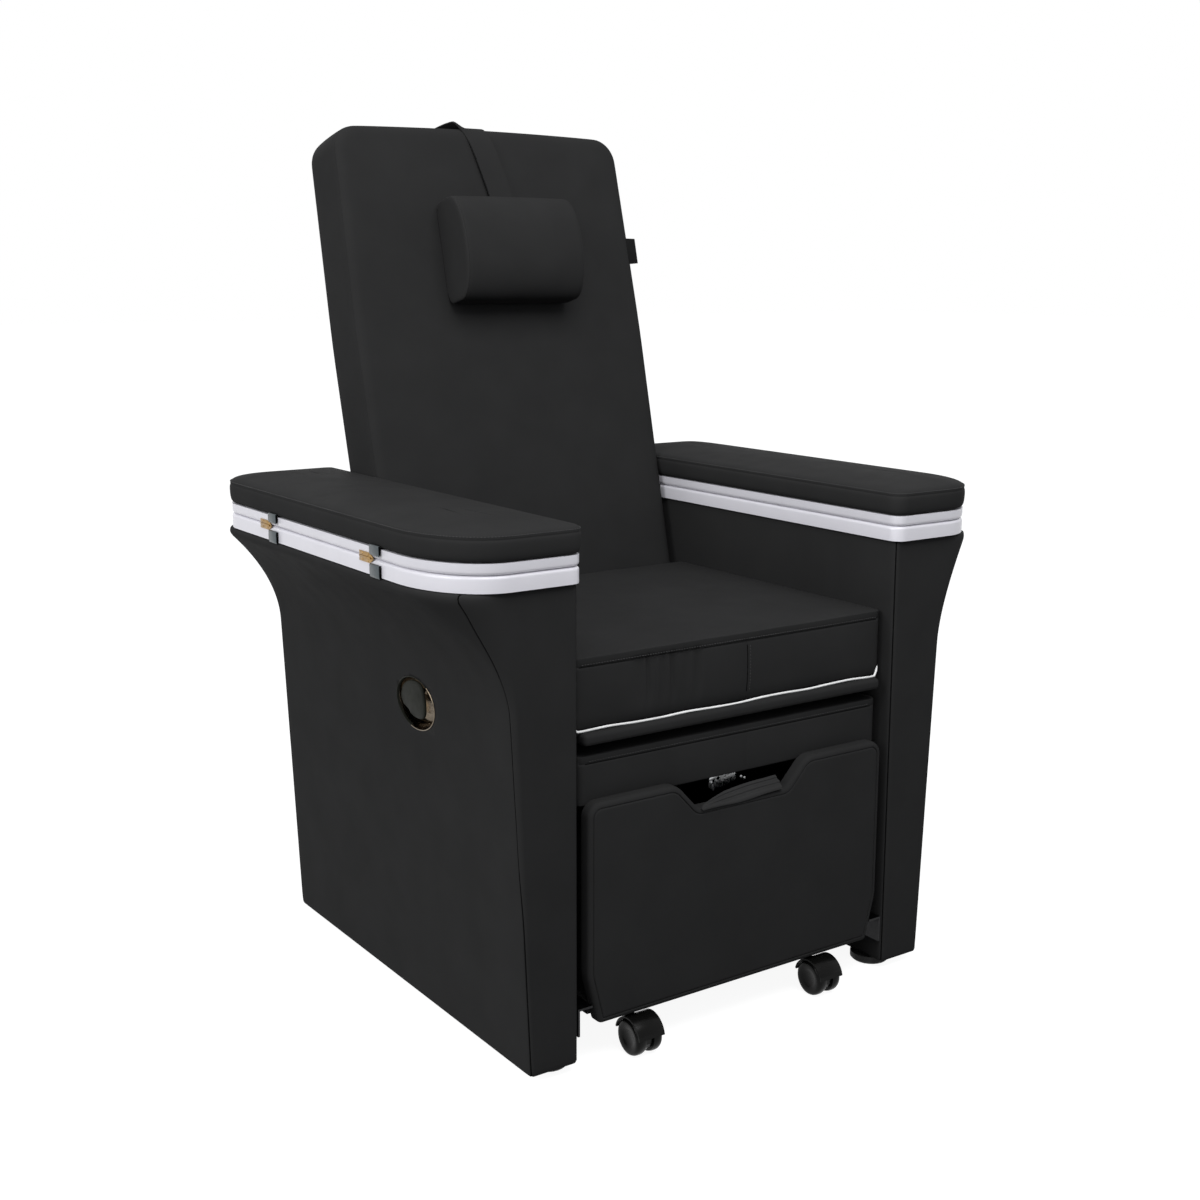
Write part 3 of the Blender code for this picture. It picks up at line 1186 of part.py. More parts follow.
def caster_fork_mesh():
    """Web, hood and stem of a twin-wheel caster; the origin is on the swivel axis."""
    wheel_y = -CASTER_TRAIL
    centre = (wheel_y, WHEEL_RADIUS)
    web_radius = WHEEL_RADIUS - 0.004
    web_outline = arc(centre, (web_radius, web_radius), 0, 360, 20)[:-1]
    fork = slab("caster_fork", web_outline, "X", -WEB_THICKNESS / 2, WEB_THICKNESS / 2, NYLON)
    inner = WHEEL_RADIUS + HOOD_GAP
    root = web_radius - 0.004
    hood = arc(centre, (HOOD_OUTER, HOOD_OUTER), 15, 155, 14)
    hood += list(reversed(arc(centre, (root, root), 15, 155, 10)))
    join(fork, slab("fork_hood", hood, "X", -TWIN_HALF_WIDTH, TWIN_HALF_WIDTH, None,
                    collection=CUTTERS))
    join(fork, rod("fork_collar", COLLAR_RADIUS, (0, 0, WHEEL_RADIUS + 0.005),
                   (0, 0, BOX_BOTTOM - GAP), 16, None, CUTTERS))
    join(fork, rod("fork_stem", STEM_RADIUS, (0, 0, WHEEL_RADIUS + 0.010),
                   (0, 0, BOX_BOTTOM + BOX_FLOOR - 0.004), 12, None, CUTTERS))
    for sign, side_name in ((-1, "left"), (1, "right")):
        start = (sign * (WEB_THICKNESS / 2 - 0.0003), wheel_y, WHEEL_RADIUS)
        end = (sign * (TWIN_HALF_WIDTH + 0.001), wheel_y, WHEEL_RADIUS)
        cut(fork, rod("wheel_room_" + side_name, inner, start, end, 32, None, CUTTERS))
    cut(fork, rod("fork_bore", AXLE_RADIUS + GAP, (-0.03, wheel_y, WHEEL_RADIUS),
                  (0.03, wheel_y, WHEEL_RADIUS), 12, None, CUTTERS))
    return bake(fork)


def caster_wheels_mesh():
    """Two wheels on one axle, turned about Z and laid along X; origin at its middle."""
    near = WEB_THICKNESS / 2 + 0.001
    far = near + WHEEL_WIDTH
    edge = 0.003
    half = [(AXLE_RADIUS, near), (0.020, near), (WHEEL_RADIUS - 0.001, near + 0.0005),
            (WHEEL_RADIUS, near + edge), (WHEEL_RADIUS, far - edge),
            (WHEEL_RADIUS - edge, far), (0.012, far - 0.001), (0, far - 0.001)]
    profile = [(radius, -height) for radius, height in reversed(half)] + half
    wheels = turned("caster_wheels", list(reversed(profile)), 18, NYLON)
    bake(wheels)
    wheels.data.transform(Matrix.Rotation(math.pi / 2, 4, "Y"))
    return wheels


def build_casters(trolley_axis):
    fork = caster_fork_mesh()
    wheels = caster_wheels_mesh()
    names = ("front_left", "front_right", "rear_left", "rear_right")
    for name, (x, y) in zip(names, caster_places()):
        swivel = axis_empty("swivel_axis_" + name, (x, y - trolley_axis.location.y, 0),
                            parent=trolley_axis)
        body = bpy.data.objects.new("caster_fork_" + name, fork.data)
        PARTS.objects.link(body)
        body.parent = swivel
        pair = bpy.data.objects.new("caster_wheels_" + name, wheels.data)
        PARTS.objects.link(pair)
        pair.parent = swivel
        pair.location = (0, -CASTER_TRAIL, WHEEL_RADIUS)
    for source in (fork, wheels):
        bpy.data.objects.remove(source, do_unlink=True)


# ---------------------------------------------------------------- assembly
def main():
    build_arms()
    seat_deck()
    seat_cushion()
    rear_panel()
    pivot_tube()
    base_bar()
    strut_cylinder()
    build_release()

    strut_axis = axis_empty("strut_axis", STRUT_TOP)
    strut_rod(strut_axis)

    recline_axis = axis_empty("recline_axis", RECLINE_PIVOT, (-LEAN, 0, 0))
    back_frame(recline_axis)
    back_cushion(recline_axis)
    back_shell(recline_axis)
    headrest_axis = axis_empty("headrest_axis", (0, 0, 0), parent=recline_axis)
    pillow(headrest_axis)
    headrest_strap(headrest_axis)

    trolley_axis = axis_empty("trolley_axis", (0, FRONT_Y, 0))
    for piece in (trolley_panel(), trolley_box(), foot_pad()):
        piece.data.transform(trolley_axis.matrix_world.inverted())
        piece.parent = trolley_axis
    latch_axis = axis_empty("latch_axis", (LATCH_X, LATCH_FRONT, FOOT_PAD_LOW),
                            parent=trolley_axis)
    latch(latch_axis)
    pull_tongue(latch_axis)
    build_casters(trolley_axis)


main()
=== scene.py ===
"""Dresses the pedicure chair's frame: upholstery, lacquered bands, fittings and a studio.

The frame gives every solid at its real place, in metres, with +Z up and the sitter facing
-Y. Each operator below makes one piece or one group of like pieces around those solids.
"""
import json
import math

import bmesh
import bpy
from bpy.props import FloatProperty, FloatVectorProperty, PointerProperty
from bpy.types import Operator, Panel, PropertyGroup
from mathutils import Matrix, Vector, noise


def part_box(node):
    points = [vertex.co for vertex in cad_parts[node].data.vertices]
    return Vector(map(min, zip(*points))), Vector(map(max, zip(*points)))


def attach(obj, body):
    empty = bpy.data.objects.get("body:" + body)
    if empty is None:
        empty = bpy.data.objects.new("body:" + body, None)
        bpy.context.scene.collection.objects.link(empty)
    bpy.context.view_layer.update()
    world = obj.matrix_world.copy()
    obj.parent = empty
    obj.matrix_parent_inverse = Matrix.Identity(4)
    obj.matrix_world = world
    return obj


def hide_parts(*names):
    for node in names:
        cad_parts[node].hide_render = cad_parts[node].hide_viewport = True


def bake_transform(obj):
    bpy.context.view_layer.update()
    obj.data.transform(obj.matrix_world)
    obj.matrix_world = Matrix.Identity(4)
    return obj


bl_info = {
    "name": "Pedicure chair upholstery",
    "version": (1, 0, 0),
    "blender": (4, 5, 0),
    "location": "View3D > Sidebar > Pedicure chair",
    "description": "Upholsters and finishes the pedicure chair around its packed frame",
    "category": "Object",
}

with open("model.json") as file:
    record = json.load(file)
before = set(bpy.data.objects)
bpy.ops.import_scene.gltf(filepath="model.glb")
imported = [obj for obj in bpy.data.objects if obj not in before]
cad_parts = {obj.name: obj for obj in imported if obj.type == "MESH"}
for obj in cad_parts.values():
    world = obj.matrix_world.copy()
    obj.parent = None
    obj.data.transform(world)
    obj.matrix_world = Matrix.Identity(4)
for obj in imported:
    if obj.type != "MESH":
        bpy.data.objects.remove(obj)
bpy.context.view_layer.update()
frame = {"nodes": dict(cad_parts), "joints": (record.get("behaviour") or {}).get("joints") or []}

SIDES = (("left", -1), ("right", 1))
ENDS = ("front", "rear")
CORNERS = ("front_left", "front_right", "rear_left", "rear_right")


# ---------------------------------------------------------------- places from the frame
def joint(name):
    """A joint of the frame by its name."""
    return next(j for j in frame["joints"] if j["name"] == name)


LEAN = math.radians(13.9)
BACK = Matrix.Translation(joint("recline")["pos_m"]) @ Matrix.Rotation(-LEAN, 4, "X")
COVER_LOW, COVER_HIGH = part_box("arm_cover_right")
TRAY_LOW, TRAY_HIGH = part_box("arm_tray_right")
FRONT_Y = COVER_LOW.y
REAR_Y = COVER_HIGH.y
INNER_X = COVER_LOW.x


# ---------------------------------------------------------------- sizes and colours
def length(name, description, default, low, high):
    """A setting that is a length in metres."""
    return FloatProperty(name=name, description=description, default=default, min=low, max=high,
                         unit="LENGTH")


def paint(name, description, *default):
    """A setting that is a colour."""
    return FloatVectorProperty(name=name, description=description, default=default, min=0, max=1,
                               subtype="COLOR")


class ChairSizes(PropertyGroup):
    """Sizes of seams, thread and padding."""
    seam_width: length("Seam width", "Half-width of a sewn seam's groove", 0.0013, 0.0003, 0.005)
    seam_depth: length("Seam depth", "Depth of a sewn seam's groove", 0.0014, 0.0, 0.005)
    # The dark line in a seam is a near-black tube of painted shade in its groove.
    seam_shade_line: length("Seam line", "Radius of the dark line in a seam", 0.0009, 0.0002, 0.003)
    stitch_pitch: length("Stitch pitch", "Distance between stitches", 0.0042, 0.002, 0.02)
    stitch_length: length("Stitch length", "Length of one stitch", 0.0030, 0.001, 0.01)
    thread_radius: length("Thread radius", "Radius of the thread", 0.0006, 0.0001, 0.002)
    piping_radius: length("Piping radius", "Radius of the white piping", 0.0016, 0.0005, 0.006)
    pad_crown: length("Armrest crown", "Rise of an armrest pad's top", 0.009, 0.0, 0.03)
    pleat_depth: length("Pleat depth", "Depth of the seat front's pleats", 0.0078, 0.0, 0.01)
    band_rim: length("Band rim", "Rounding where two white boards meet", 0.0048, 0.001, 0.007)


class ChairColours(PropertyGroup):
    """Colours of the finishes."""
    vinyl: paint("Vinyl", "Upholstery vinyl", 0.0265, 0.0265, 0.0267)
    lacquer: paint("Lacquer", "White lacquered bands", 0.71, 0.70, 0.75)
    piping: paint("Piping", "White piping", 0.93, 0.93, 0.93)
    brass: paint("Brass", "Hinge leaves", 0.34, 0.215, 0.085)
    clip: paint("Clip steel", "Stop clips", 0.085, 0.098, 0.105)
    # Warm brown: dark chrome with a painted brown reflection of the room in the cup.
    chrome: paint("Dark chrome", "Release cup", 0.16, 0.13, 0.095)
    # Near-black with a green cast: the chrome lever's reflection of a dark room, painted in as
    # colour.
    paddle: paint("Paddle", "Release lever", 0.013, 0.014, 0.011)
    nylon: paint("Nylon", "Caster wheels and hoods", 0.0035, 0.0035, 0.0033)


# ---------------------------------------------------------------- materials
def add_node(tree, kind, inputs=None, **settings):
    """A new shader node with its settings and the values of its inputs."""
    node = tree.nodes.new("ShaderNode" + kind)
    for key, value in settings.items():
        setattr(node, key, value)
    for key, value in (inputs or {}).items():
        node.inputs[key].default_value = value
    return node


def shader_of(name):
    """A new material with its tree, its shader and its object coordinates."""
    material = bpy.data.materials.new(name)
    material.use_nodes = True
    tree = material.node_tree
    place = add_node(tree, "TexCoord").outputs["Object"]
    return material, tree, tree.nodes["Principled BSDF"], place


def speckle(tree, place, scale, detail, low, high):
    """Noise at a scale (per metre), spread between two values."""
    texture = add_node(tree, "TexNoise", {"Scale": scale, "Detail": detail})
    tree.links.new(place, texture.inputs["Vector"])
    levels = add_node(tree, "MapRange", {"From Min": 0.3, "From Max": 0.7, "To Min": low,
                                         "To Max": high})
    tree.links.new(texture.outputs["Fac"], levels.inputs["Value"])
    return levels.outputs["Result"]


def tint(tree, shader, factor, colour, dark, light):
    """Base colour between a darker and a lighter shade of a colour, by a factor."""
    mix = add_node(tree, "Mix", {"A": (*shade(colour, dark), 1), "B": (*shade(colour, light), 1)},
                   data_type="RGBA")
    tree.links.new(factor, mix.inputs["Factor"])
    tree.links.new(mix.outputs["Result"], shader.inputs["Base Color"])


def roughen(tree, shader, place, scale, detail, low, high):
    """Roughness that varies between two values."""
    tree.links.new(speckle(tree, place, scale, detail, low, high), shader.inputs["Roughness"])


def relief(tree, shader, height, strength, distance, below=None):
    """Adds a bump to the shader, on top of another bump if one is given."""
    bump = add_node(tree, "Bump", {"Strength": strength, "Distance": distance})
    tree.links.new(height, bump.inputs["Height"])
    if below:
        tree.links.new(below, bump.inputs["Normal"])
    tree.links.new(bump.outputs["Normal"], shader.inputs["Normal"])
    return bump.outputs["Normal"]


def stretched(tree, place, scale):
    """Object coordinates drawn out along some axes."""
    turn = add_node(tree, "Mapping", {"Scale": scale})
    tree.links.new(place, turn.inputs["Vector"])
    return turn.outputs["Vector"]


def shade(colour, factor):
    """A colour made lighter or darker."""
    return tuple(min(part * factor, 1.0) for part in colour)


def vinyl_finish(name, colour, roughness=0.58, specular=0.004):
    """Upholstery vinyl: fine pebbled grain, faint mottling and soft unevenness."""
    material, tree, shader, place = shader_of(name)
    tint(tree, shader, speckle(tree, place, 14, 3, 0, 1), colour, 0.95, 1.05)
    roughen(tree, shader, place, 30, 2, roughness - 0.03, roughness + 0.03)
    shader.inputs["Specular IOR Level"].default_value = specular
    cells = add_node(tree, "TexVoronoi", {"Scale": 900, "Randomness": 0.9}, feature="SMOOTH_F1")
    tree.links.new(place, cells.inputs["Vector"])
    soft = relief(tree, shader, speckle(tree, place, 9, 2, 0, 1), 0.12, 0.002)
    relief(tree, shader, cells.outputs["Distance"], 0.16, 0.0004, soft)
    return material


def lacquer_finish(name, colour):
    """Sprayed lacquer on board: faint orange peel and a clear coat."""
    material, tree, shader, place = shader_of(name)
    tint(tree, shader, speckle(tree, place, 18, 3, 0, 1), colour, 0.965, 1.0)
    roughen(tree, shader, place, 60, 2, 0.30, 0.40)
    shader.inputs["Coat Weight"].default_value = 0.15
    shader.inputs["Coat Roughness"].default_value = 0.2
    relief(tree, shader, speckle(tree, place, 260, 2, 0, 1), 0.08, 0.0003)
    return material


def metal_finish(name, colour, roughness, wear=0.15, stretch=(1, 1, 1)):
    """Metal with fine streaks, drawn together along the longer of the stretch axes."""
    material, tree, shader, place = shader_of(name)
    shader.inputs["Metallic"].default_value = 1.0
    place = stretched(tree, place, stretch)
    streaks = speckle(tree, place, 260, 4, 0, 1)
    tint(tree, shader, streaks, colour, 1 - wear, 1 + wear)
    roughen(tree, shader, place, 180, 3, roughness * 0.8, roughness * 1.25)
    relief(tree, shader, streaks, 0.06, 0.0002)
    return material


def moulded_finish(name, colour, roughness, specular):
    """Moulded plastic or rubber with a faint skin texture, also used for near-black painted shade
    and the lever's painted dark reflection.
    """
    material, tree, shader, place = shader_of(name)
    tint(tree, shader, speckle(tree, place, 40, 2, 0, 1), colour, 0.85, 1.15)
    roughen(tree, shader, place, 90, 2, roughness * 0.85, roughness * 1.15)
    shader.inputs["Specular IOR Level"].default_value = specular
    relief(tree, shader, speckle(tree, place, 700, 2, 0, 1), 0.05, 0.0002)
    return material


def plywood_finish(name):
    """Birch plywood with a streaked face grain."""
    material, tree, shader, place = shader_of(name)
    grain = speckle(tree, stretched(tree, place, (12, 1.2, 12)), 18, 6, 0, 1)
    mix = add_node(tree, "Mix", {"A": (0.36, 0.22, 0.11, 1), "B": (0.60, 0.43, 0.26, 1)},
                   data_type="RGBA")
    tree.links.new(grain, mix.inputs["Factor"])
    tree.links.new(mix.outputs["Result"], shader.inputs["Base Color"])
    shader.inputs["Roughness"].default_value = 0.62
    relief(tree, shader, grain, 0.15, 0.0004)
    return material


FINISHES = {}


def make_finishes(colours):
    """The finishes that the chair's pieces share."""
    vinyl = tuple(colours.vinyl)
    FINISHES.update(
        vinyl=vinyl_finish("black_vinyl_upholstery", vinyl),
        leather=vinyl_finish("black_leather_tab", shade(vinyl, 1.15), 0.5, 0.04),
        thread=moulded_finish("black_thread", shade(vinyl, 2.3), 0.55, 0.05),
        # Near-black finish of painted shade, laid in seam grooves and clip folds.
        gap=moulded_finish("painted_crease_shade", (0.003, 0.003, 0.003), 0.7, 0.02),
        tab=moulded_finish("black_woven_tab", shade(vinyl, 0.45), 0.6, 0.02),
        piping=moulded_finish("white_piping", tuple(colours.piping), 0.4, 0.4),
        lacquer=lacquer_finish("white_lacquer_band", tuple(colours.lacquer)),
        brass=metal_finish("brass_leaf", tuple(colours.brass), 0.32, 0.3, (1, 6, 1)),
        clip=metal_finish("zinc_clip", tuple(colours.clip), 0.34, 0.2, (1, 5, 1)),
        zinc=metal_finish("zinc_plate", (0.55, 0.56, 0.57), 0.28, 0.2, (4, 1, 1)),
        # The cup's and pin's brown tint is a painted reflection of the room.
        chrome=metal_finish("chrome_painted_brown_reflection", tuple(colours.chrome), 0.16, 0.1),
        # The lever's colour is a painted dark reflection; the cup's painted shade uses it too.
        paddle=moulded_finish("lever_painted_dark_reflection", tuple(colours.paddle), 0.4, 0.04),
        steel=metal_finish("black_painted_steel", (0.02, 0.02, 0.021), 0.38, 0.1),
        nylon=moulded_finish("black_nylon_wheel", tuple(colours.nylon), 0.25, 0.10),
        rubber=moulded_finish("black_rubber_foot", (0.012, 0.012, 0.012), 0.6, 0.2),
        plywood=plywood_finish("birch_plywood"))


# ---------------------------------------------------------------- outlines
def arc(centre, radii, start, turn, steps):
    """Points of an arc, angles in degrees, both ends included."""
    points = []
    for i in range(steps + 1):
        angle = math.radians(start + turn * i / steps)
        points.append((centre[0] + radii[0] * math.cos(angle),
                       centre[1] + radii[1] * math.sin(angle)))
    return points


def rounded_plan(low, high, radii, steps, sides, inset=0.0):
    """Rectangle with four elliptic corners, its sides divided into equal stretches.

    Corner k starts at point k * (steps + sides) and ends steps later; the corners run
    from the low one counter-clockwise.
    """
    x0, y0 = low[0] + inset, low[1] + inset
    x1, y1 = high[0] - inset, high[1] - inset
    places = ((x0, y0, 1, 1, 180), (x1, y0, -1, 1, 270), (x1, y1, -1, -1, 0), (x0, y1, 1, -1, 90))
    corners = []
    for (x, y, sx, sy, start), (rx, ry) in zip(places, radii):
        rx = min(max(rx - inset, 0.001), (x1 - x0) * 0.49)
        ry = min(max(ry - inset, 0.001), (y1 - y0) * 0.49)
        corners.append(arc((x + sx * rx, y + sy * ry), (rx, ry), start, 90, steps))
    points = []
    for k, corner in enumerate(corners):
        points += corner
        last, following = Vector(corner[-1]), Vector(corners[(k + 1) % 4][0])
        points += [tuple(last.lerp(following, i / sides)) for i in range(1, sides)]
    return points


def with_seams(points, seams, width, depth):
    """Replaces each seam point of a closed outline by a small sunk groove of five points."""
    outline = []
    count = len(points)
    for i, point in enumerate(points):
        if i not in seams:
            outline.append(tuple(point))
            continue
        here = Vector(point)
        back = (Vector(points[i - 1]) - here).normalized()
        ahead = (Vector(points[(i + 1) % count]) - here).normalized()
        run = (ahead - back).normalized()
        inward = Vector((-run.y, run.x))
        for share, side in ((1.0, back), (0.5, back), (0, ahead), (0.5, ahead), (1.0, ahead)):
            sink = depth * (1 - share) if share < 1 else 0.0
            outline.append(tuple(here + side * width * share + inward * sink))
    return outline


def filleted(corners):
    """Closed outline from corners (a, b, radius, steps); radius 0 stays sharp."""
    points = []
    for i, (a, b, radius, steps) in enumerate(corners):
        here = Vector((a, b))
        if radius == 0:
            points.append((a, b))
            continue
        before = (Vector(corners[i - 1][:2]) - here).normalized()
        after = (Vector(corners[(i + 1) % len(corners)][:2]) - here).normalized()
        half = before.angle(after) / 2
        centre = here + (before + after).normalized() * radius / math.sin(half)
        start = here + before * radius / math.tan(half) - centre
        end = here + after * radius / math.tan(half) - centre
        sweep = math.atan2(start.x * end.y - start.y * end.x, start.dot(end))
        for k in range(steps + 1):
            turn = sweep * k / steps
            c, s = math.cos(turn), math.sin(turn)
            points.append((centre.x + start.x * c - start.y * s,
                           centre.y + start.x * s + start.y * c))
    return points


def drawn_in(points, inset):
    """A closed counter-clockwise outline moved inward by a small distance."""
    moved = []
    count = len(points)
    for i, point in enumerate(points):
        before, after = Vector(points[i - 1]), Vector(points[(i + 1) % count])
        a = (Vector(point) - before).normalized()
        b = (after - Vector(point)).normalized()
        run = (a + b).normalized()
        stretch = max(run.dot(a), 0.5)
        moved.append((point[0] - run.y * inset / stretch, point[1] + run.x * inset / stretch))
    return moved


def shrunk(corners, inset):
    """A filleted outline moved inward: its outer corners tighten and its inner ones widen."""
    moved = []
    for i, (a, b) in enumerate(drawn_in([corner[:2] for corner in corners], inset)):
        before, here, after = corners[i - 1], corners[i], corners[(i + 1) % len(corners)]
        turn = ((here[0] - before[0]) * (after[1] - here[1])
                - (here[1] - before[1]) * (after[0] - here[0]))
        radius, steps = here[2:]
        if radius:
            radius = max(radius - inset, 0.0012) if turn > 0 else radius + inset
        moved.append((a, b, radius, steps))
    return filleted(moved)


def layered(outline, levels):
    """Rings across Y: an outline drawn in by the inset of each (depth, inset)."""
    return [[(x, depth, z) for x, z in outline(inset)] for depth, inset in levels]


def folded(route, thickness):
    """Closed outline of a plate of even thickness bent along a route."""
    route = [Vector(point) for point in route]
    inner = []
    for i, point in enumerate(route):
        run = (route[min(i + 1, len(route) - 1)] - route[max(i - 1, 0)]).normalized()
        inner.append((point.x - run.y * thickness, point.y + run.x * thickness))
    return [tuple(point) for point in route] + inner[::-1]


def smooth_route(points, per_span):
    """A smooth curve through the points, with per_span steps between each two."""
    points = [Vector(point) for point in points]
    route = []
    ends = [2 * points[0] - points[1]] + points + [2 * points[-1] - points[-2]]
    for i in range(1, len(ends) - 2):
        a, b, c, d = ends[i - 1:i + 3]
        for k in range(per_span):
            t = k / per_span
            route.append(0.5 * (2 * b + (c - a) * t + (2 * a - 5 * b + 4 * c - d) * t ** 2
                                + (3 * b - a - 3 * c + d) * t ** 3))
    route.append(points[-1])
    return route


def evenly_along(line, count, bend=0.06):
    """Count points along an open line, its end left out, closer together where it turns."""
    line = [Vector(point) for point in line]
    reach = [0.0]
    for i in range(1, len(line)):
        step = line[i] - line[i - 1]
        turn = step.angle(line[i + 1] - line[i], 0) if i + 1 < len(line) else 0
        reach.append(reach[-1] + step.length + bend * turn)
    points = [tuple(line[0])]
    i = 1
    for k in range(1, count):
        goal = reach[-1] * k / count
        while reach[i] < goal:
            i += 1
        share = (goal - reach[i - 1]) / (reach[i] - reach[i - 1])
        points.append(tuple(line[i - 1].lerp(line[i], share)))
    return points


def bulge(value, power=4):
    """1 in the middle, 0 at the ends, with a flat top."""
    return 1 - min(abs(value), 1) ** power


def hump(value, centre, width):
    """A smooth bump of height 1."""
    return math.exp(-((value - centre) / width) ** 2)


# ---------------------------------------------------------------- meshes
def skin(rings, closed=True, caps=True):
    """Grows a surface through rings of points by extruding one loop again and again."""
    bm = bmesh.new()
    verts = [bm.verts.new(point) for point in rings[0]]
    edges = [bm.edges.new(pair) for pair in zip(verts, verts[1:])]
    if closed:
        edges.append(bm.edges.new((verts[-1], verts[0])))
    if caps:
        bmesh.ops.contextual_create(bm, geom=edges)
    for ring in rings[1:]:
        numbers = {vert: i for i, vert in enumerate(verts)}
        grown = bmesh.ops.extrude_edge_only(bm, edges=edges)["geom"]
        edges = [item for item in grown if isinstance(item, bmesh.types.BMEdge)]
        fresh = [item for item in grown if isinstance(item, bmesh.types.BMVert)]
        verts = [None] * len(numbers)
        for vert in fresh:
            source = next(edge.other_vert(vert) for edge in vert.link_edges
                          if edge.other_vert(vert) in numbers)
            verts[numbers[source]] = vert
        for vert, point in zip(verts, ring):
            vert.co = point
        ring_verts = set(verts)
        edges = [edge for edge in edges
                 if edge.verts[0] in ring_verts and edge.verts[1] in ring_verts]
    if caps:
        bmesh.ops.contextual_create(bm, geom=edges)
    bmesh.ops.recalc_face_normals(bm, faces=bm.faces)
    return bm


def cage(low, high, levels):
    """A box cut by planes at the given levels along X, Y and Z."""
    bm = bmesh.new()
    bmesh.ops.create_cube(bm, size=1.0)
    bmesh.ops.scale(bm, vec=Vector(high) - Vector(low), verts=bm.verts)
    bmesh.ops.translate(bm, vec=(Vector(high) + Vector(low)) / 2, verts=bm.verts)
    for axis in range(3):
        normal = Vector((0, 0, 0))
        normal[axis] = 1
        for level in sorted(levels[axis]):
            everything = bm.verts[:] + bm.edges[:] + bm.faces[:]
            bmesh.ops.bisect_plane(bm, geom=everything, plane_co=normal * level,
                                   plane_no=normal)
    return bm


def spread(low, high, edge, count):
    """Levels from low + edge to high - edge in equal steps."""
    return [low + edge + (high - low - 2 * edge) * k / count for k in range(count + 1)]


def turned_in(point, corner, reach, radius):
    """Rounds one vertical corner of a box; reach points from the corner into the box."""
    centre = Vector((corner[0] + reach[0] * radius, corner[1] + reach[1] * radius))
    out = Vector(((centre.x - point.x) * reach[0], (centre.y - point.y) * reach[1]))
    if min(out) <= 0:
        return
    scale = max(out) / out.length
    point.x = centre.x - out.x * scale * reach[0]
    point.y = centre.y - out.y * scale * reach[1]


def seam_levels(place, width):
    """The three cuts that let a seam sink in."""
    return [place - width, place, place + width]


def slab(outline, axis, low, high, edge, segments=3, ends="both"):
    """A flat outline given thickness along an axis, with its rims rounded."""
    def place(a, b, height):
        return {"X": (height, a, b), "Y": (a, height, b), "Z": (a, b, height)}[axis]
    bm = bmesh.new()
    base = bm.faces.new([bm.verts.new(place(a, b, low)) for a, b in outline])
    grown = bmesh.ops.extrude_face_region(bm, geom=[base])
    lifted = [item for item in grown["geom"] if isinstance(item, bmesh.types.BMVert)]
    bmesh.ops.translate(bm, verts=lifted, vec=Vector(place(0, 0, high - low)))
    bmesh.ops.recalc_face_normals(bm, faces=bm.faces)
    if edge:
        index = "XYZ".index(axis)
        wanted = {"both": (low, high), "low": (low,), "high": (high,)}[ends]
        rims = [e for e in bm.edges
                if any(all(abs(v.co[index] - level) < 1e-6 for v in e.verts) for level in wanted)]
        bmesh.ops.bevel(bm, geom=rims, offset=edge, segments=segments, profile=0.5,
                        affect="EDGES", material=-1, clamp_overlap=True)
    return bm


def tube(route, radius, sides=10):
    """A round cord along a route, closed at both ends."""
    rings = []
    for i, point in enumerate(route):
        along = (route[min(i + 1, len(route) - 1)] - route[max(i - 1, 0)]).normalized()
        across = along.cross(Vector((0, 0, 1))).normalized()
        up = across.cross(along)
        rings.append([point + (across * math.cos(turn) + up * math.sin(turn)) * radius
                      for turn in (2 * math.pi * k / sides for k in range(sides))])
    return skin(rings)


def lathe(profile, steps, axis, place):
    """A profile of (radius, along) points spun about an axis through a place."""
    bm = bmesh.new()
    verts = [bm.verts.new((radius, 0, along)) for radius, along in profile]
    for pair in zip(verts, verts[1:]):
        bm.edges.new(pair)
    bmesh.ops.spin(bm, geom=bm.verts[:] + bm.edges[:], cent=(0, 0, 0), axis=(0, 0, 1),
                   angle=2 * math.pi, steps=steps, use_merge=True, use_duplicate=False)
    bmesh.ops.remove_doubles(bm, verts=bm.verts, dist=1e-6)
    turn = Vector((0, 0, 1)).rotation_difference(Vector(axis)).to_matrix().to_4x4()
    bmesh.ops.transform(bm, matrix=Matrix.Translation(place) @ turn, verts=bm.verts)
    bmesh.ops.recalc_face_normals(bm, faces=bm.faces)
    return bm


def placed(name, bm):
    """A bmesh as a new object of the scene."""
    mesh = bpy.data.meshes.new(name)
    bm.to_mesh(mesh)
    bm.free()
    piece = bpy.data.objects.new(name, mesh)
    bpy.context.scene.collection.objects.link(piece)
    return piece


def dress(name, bm, finish, body, replaced=(), levels=0, angle=40,
          mirror=False):
    """Turns a bmesh into a shown piece that rides on a body of the chair."""
    if mirror:
        bmesh.ops.scale(bm, vec=(-1, 1, 1), verts=bm.verts)
        bmesh.ops.reverse_faces(bm, faces=bm.faces)
    piece = placed(name, bm)
    piece.data.materials.append(FINISHES[finish])
    piece.data.shade_smooth()
    if angle:
        piece.data.set_sharp_from_angle(angle=math.radians(angle))
    if levels:
        rounder = piece.modifiers.new("soften", "SUBSURF")
        rounder.levels = levels
        rounder.render_levels = levels
    if body:
        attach(piece, body)
    if replaced:
        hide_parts(*replaced)
    return piece


def upholster(name, bm, body, node, mirror=False):
    """A padded vinyl piece, softened by one subdivision, in place of a soft CAD solid."""
    return dress(name, bm, "vinyl", body, (node,), levels=1, angle=0,
                 mirror=mirror)


def settle(piece):
    """Replaces a piece's modifiers by their result."""
    bpy.context.view_layer.update()
    evaluated = piece.evaluated_get(bpy.context.evaluated_depsgraph_get())
    mesh = bpy.data.meshes.new_from_object(evaluated)
    mesh.name = piece.data.name
    piece.modifiers.clear()
    piece.data = mesh


def punch(piece, tool_mesh):
    """Cuts a mesh's solids out of a piece for good."""
    tool = placed("cutter", tool_mesh)
    hole = piece.modifiers.new("hole", "BOOLEAN")
    hole.object = tool
    settle(piece)
    bpy.data.meshes.remove(tool.data)


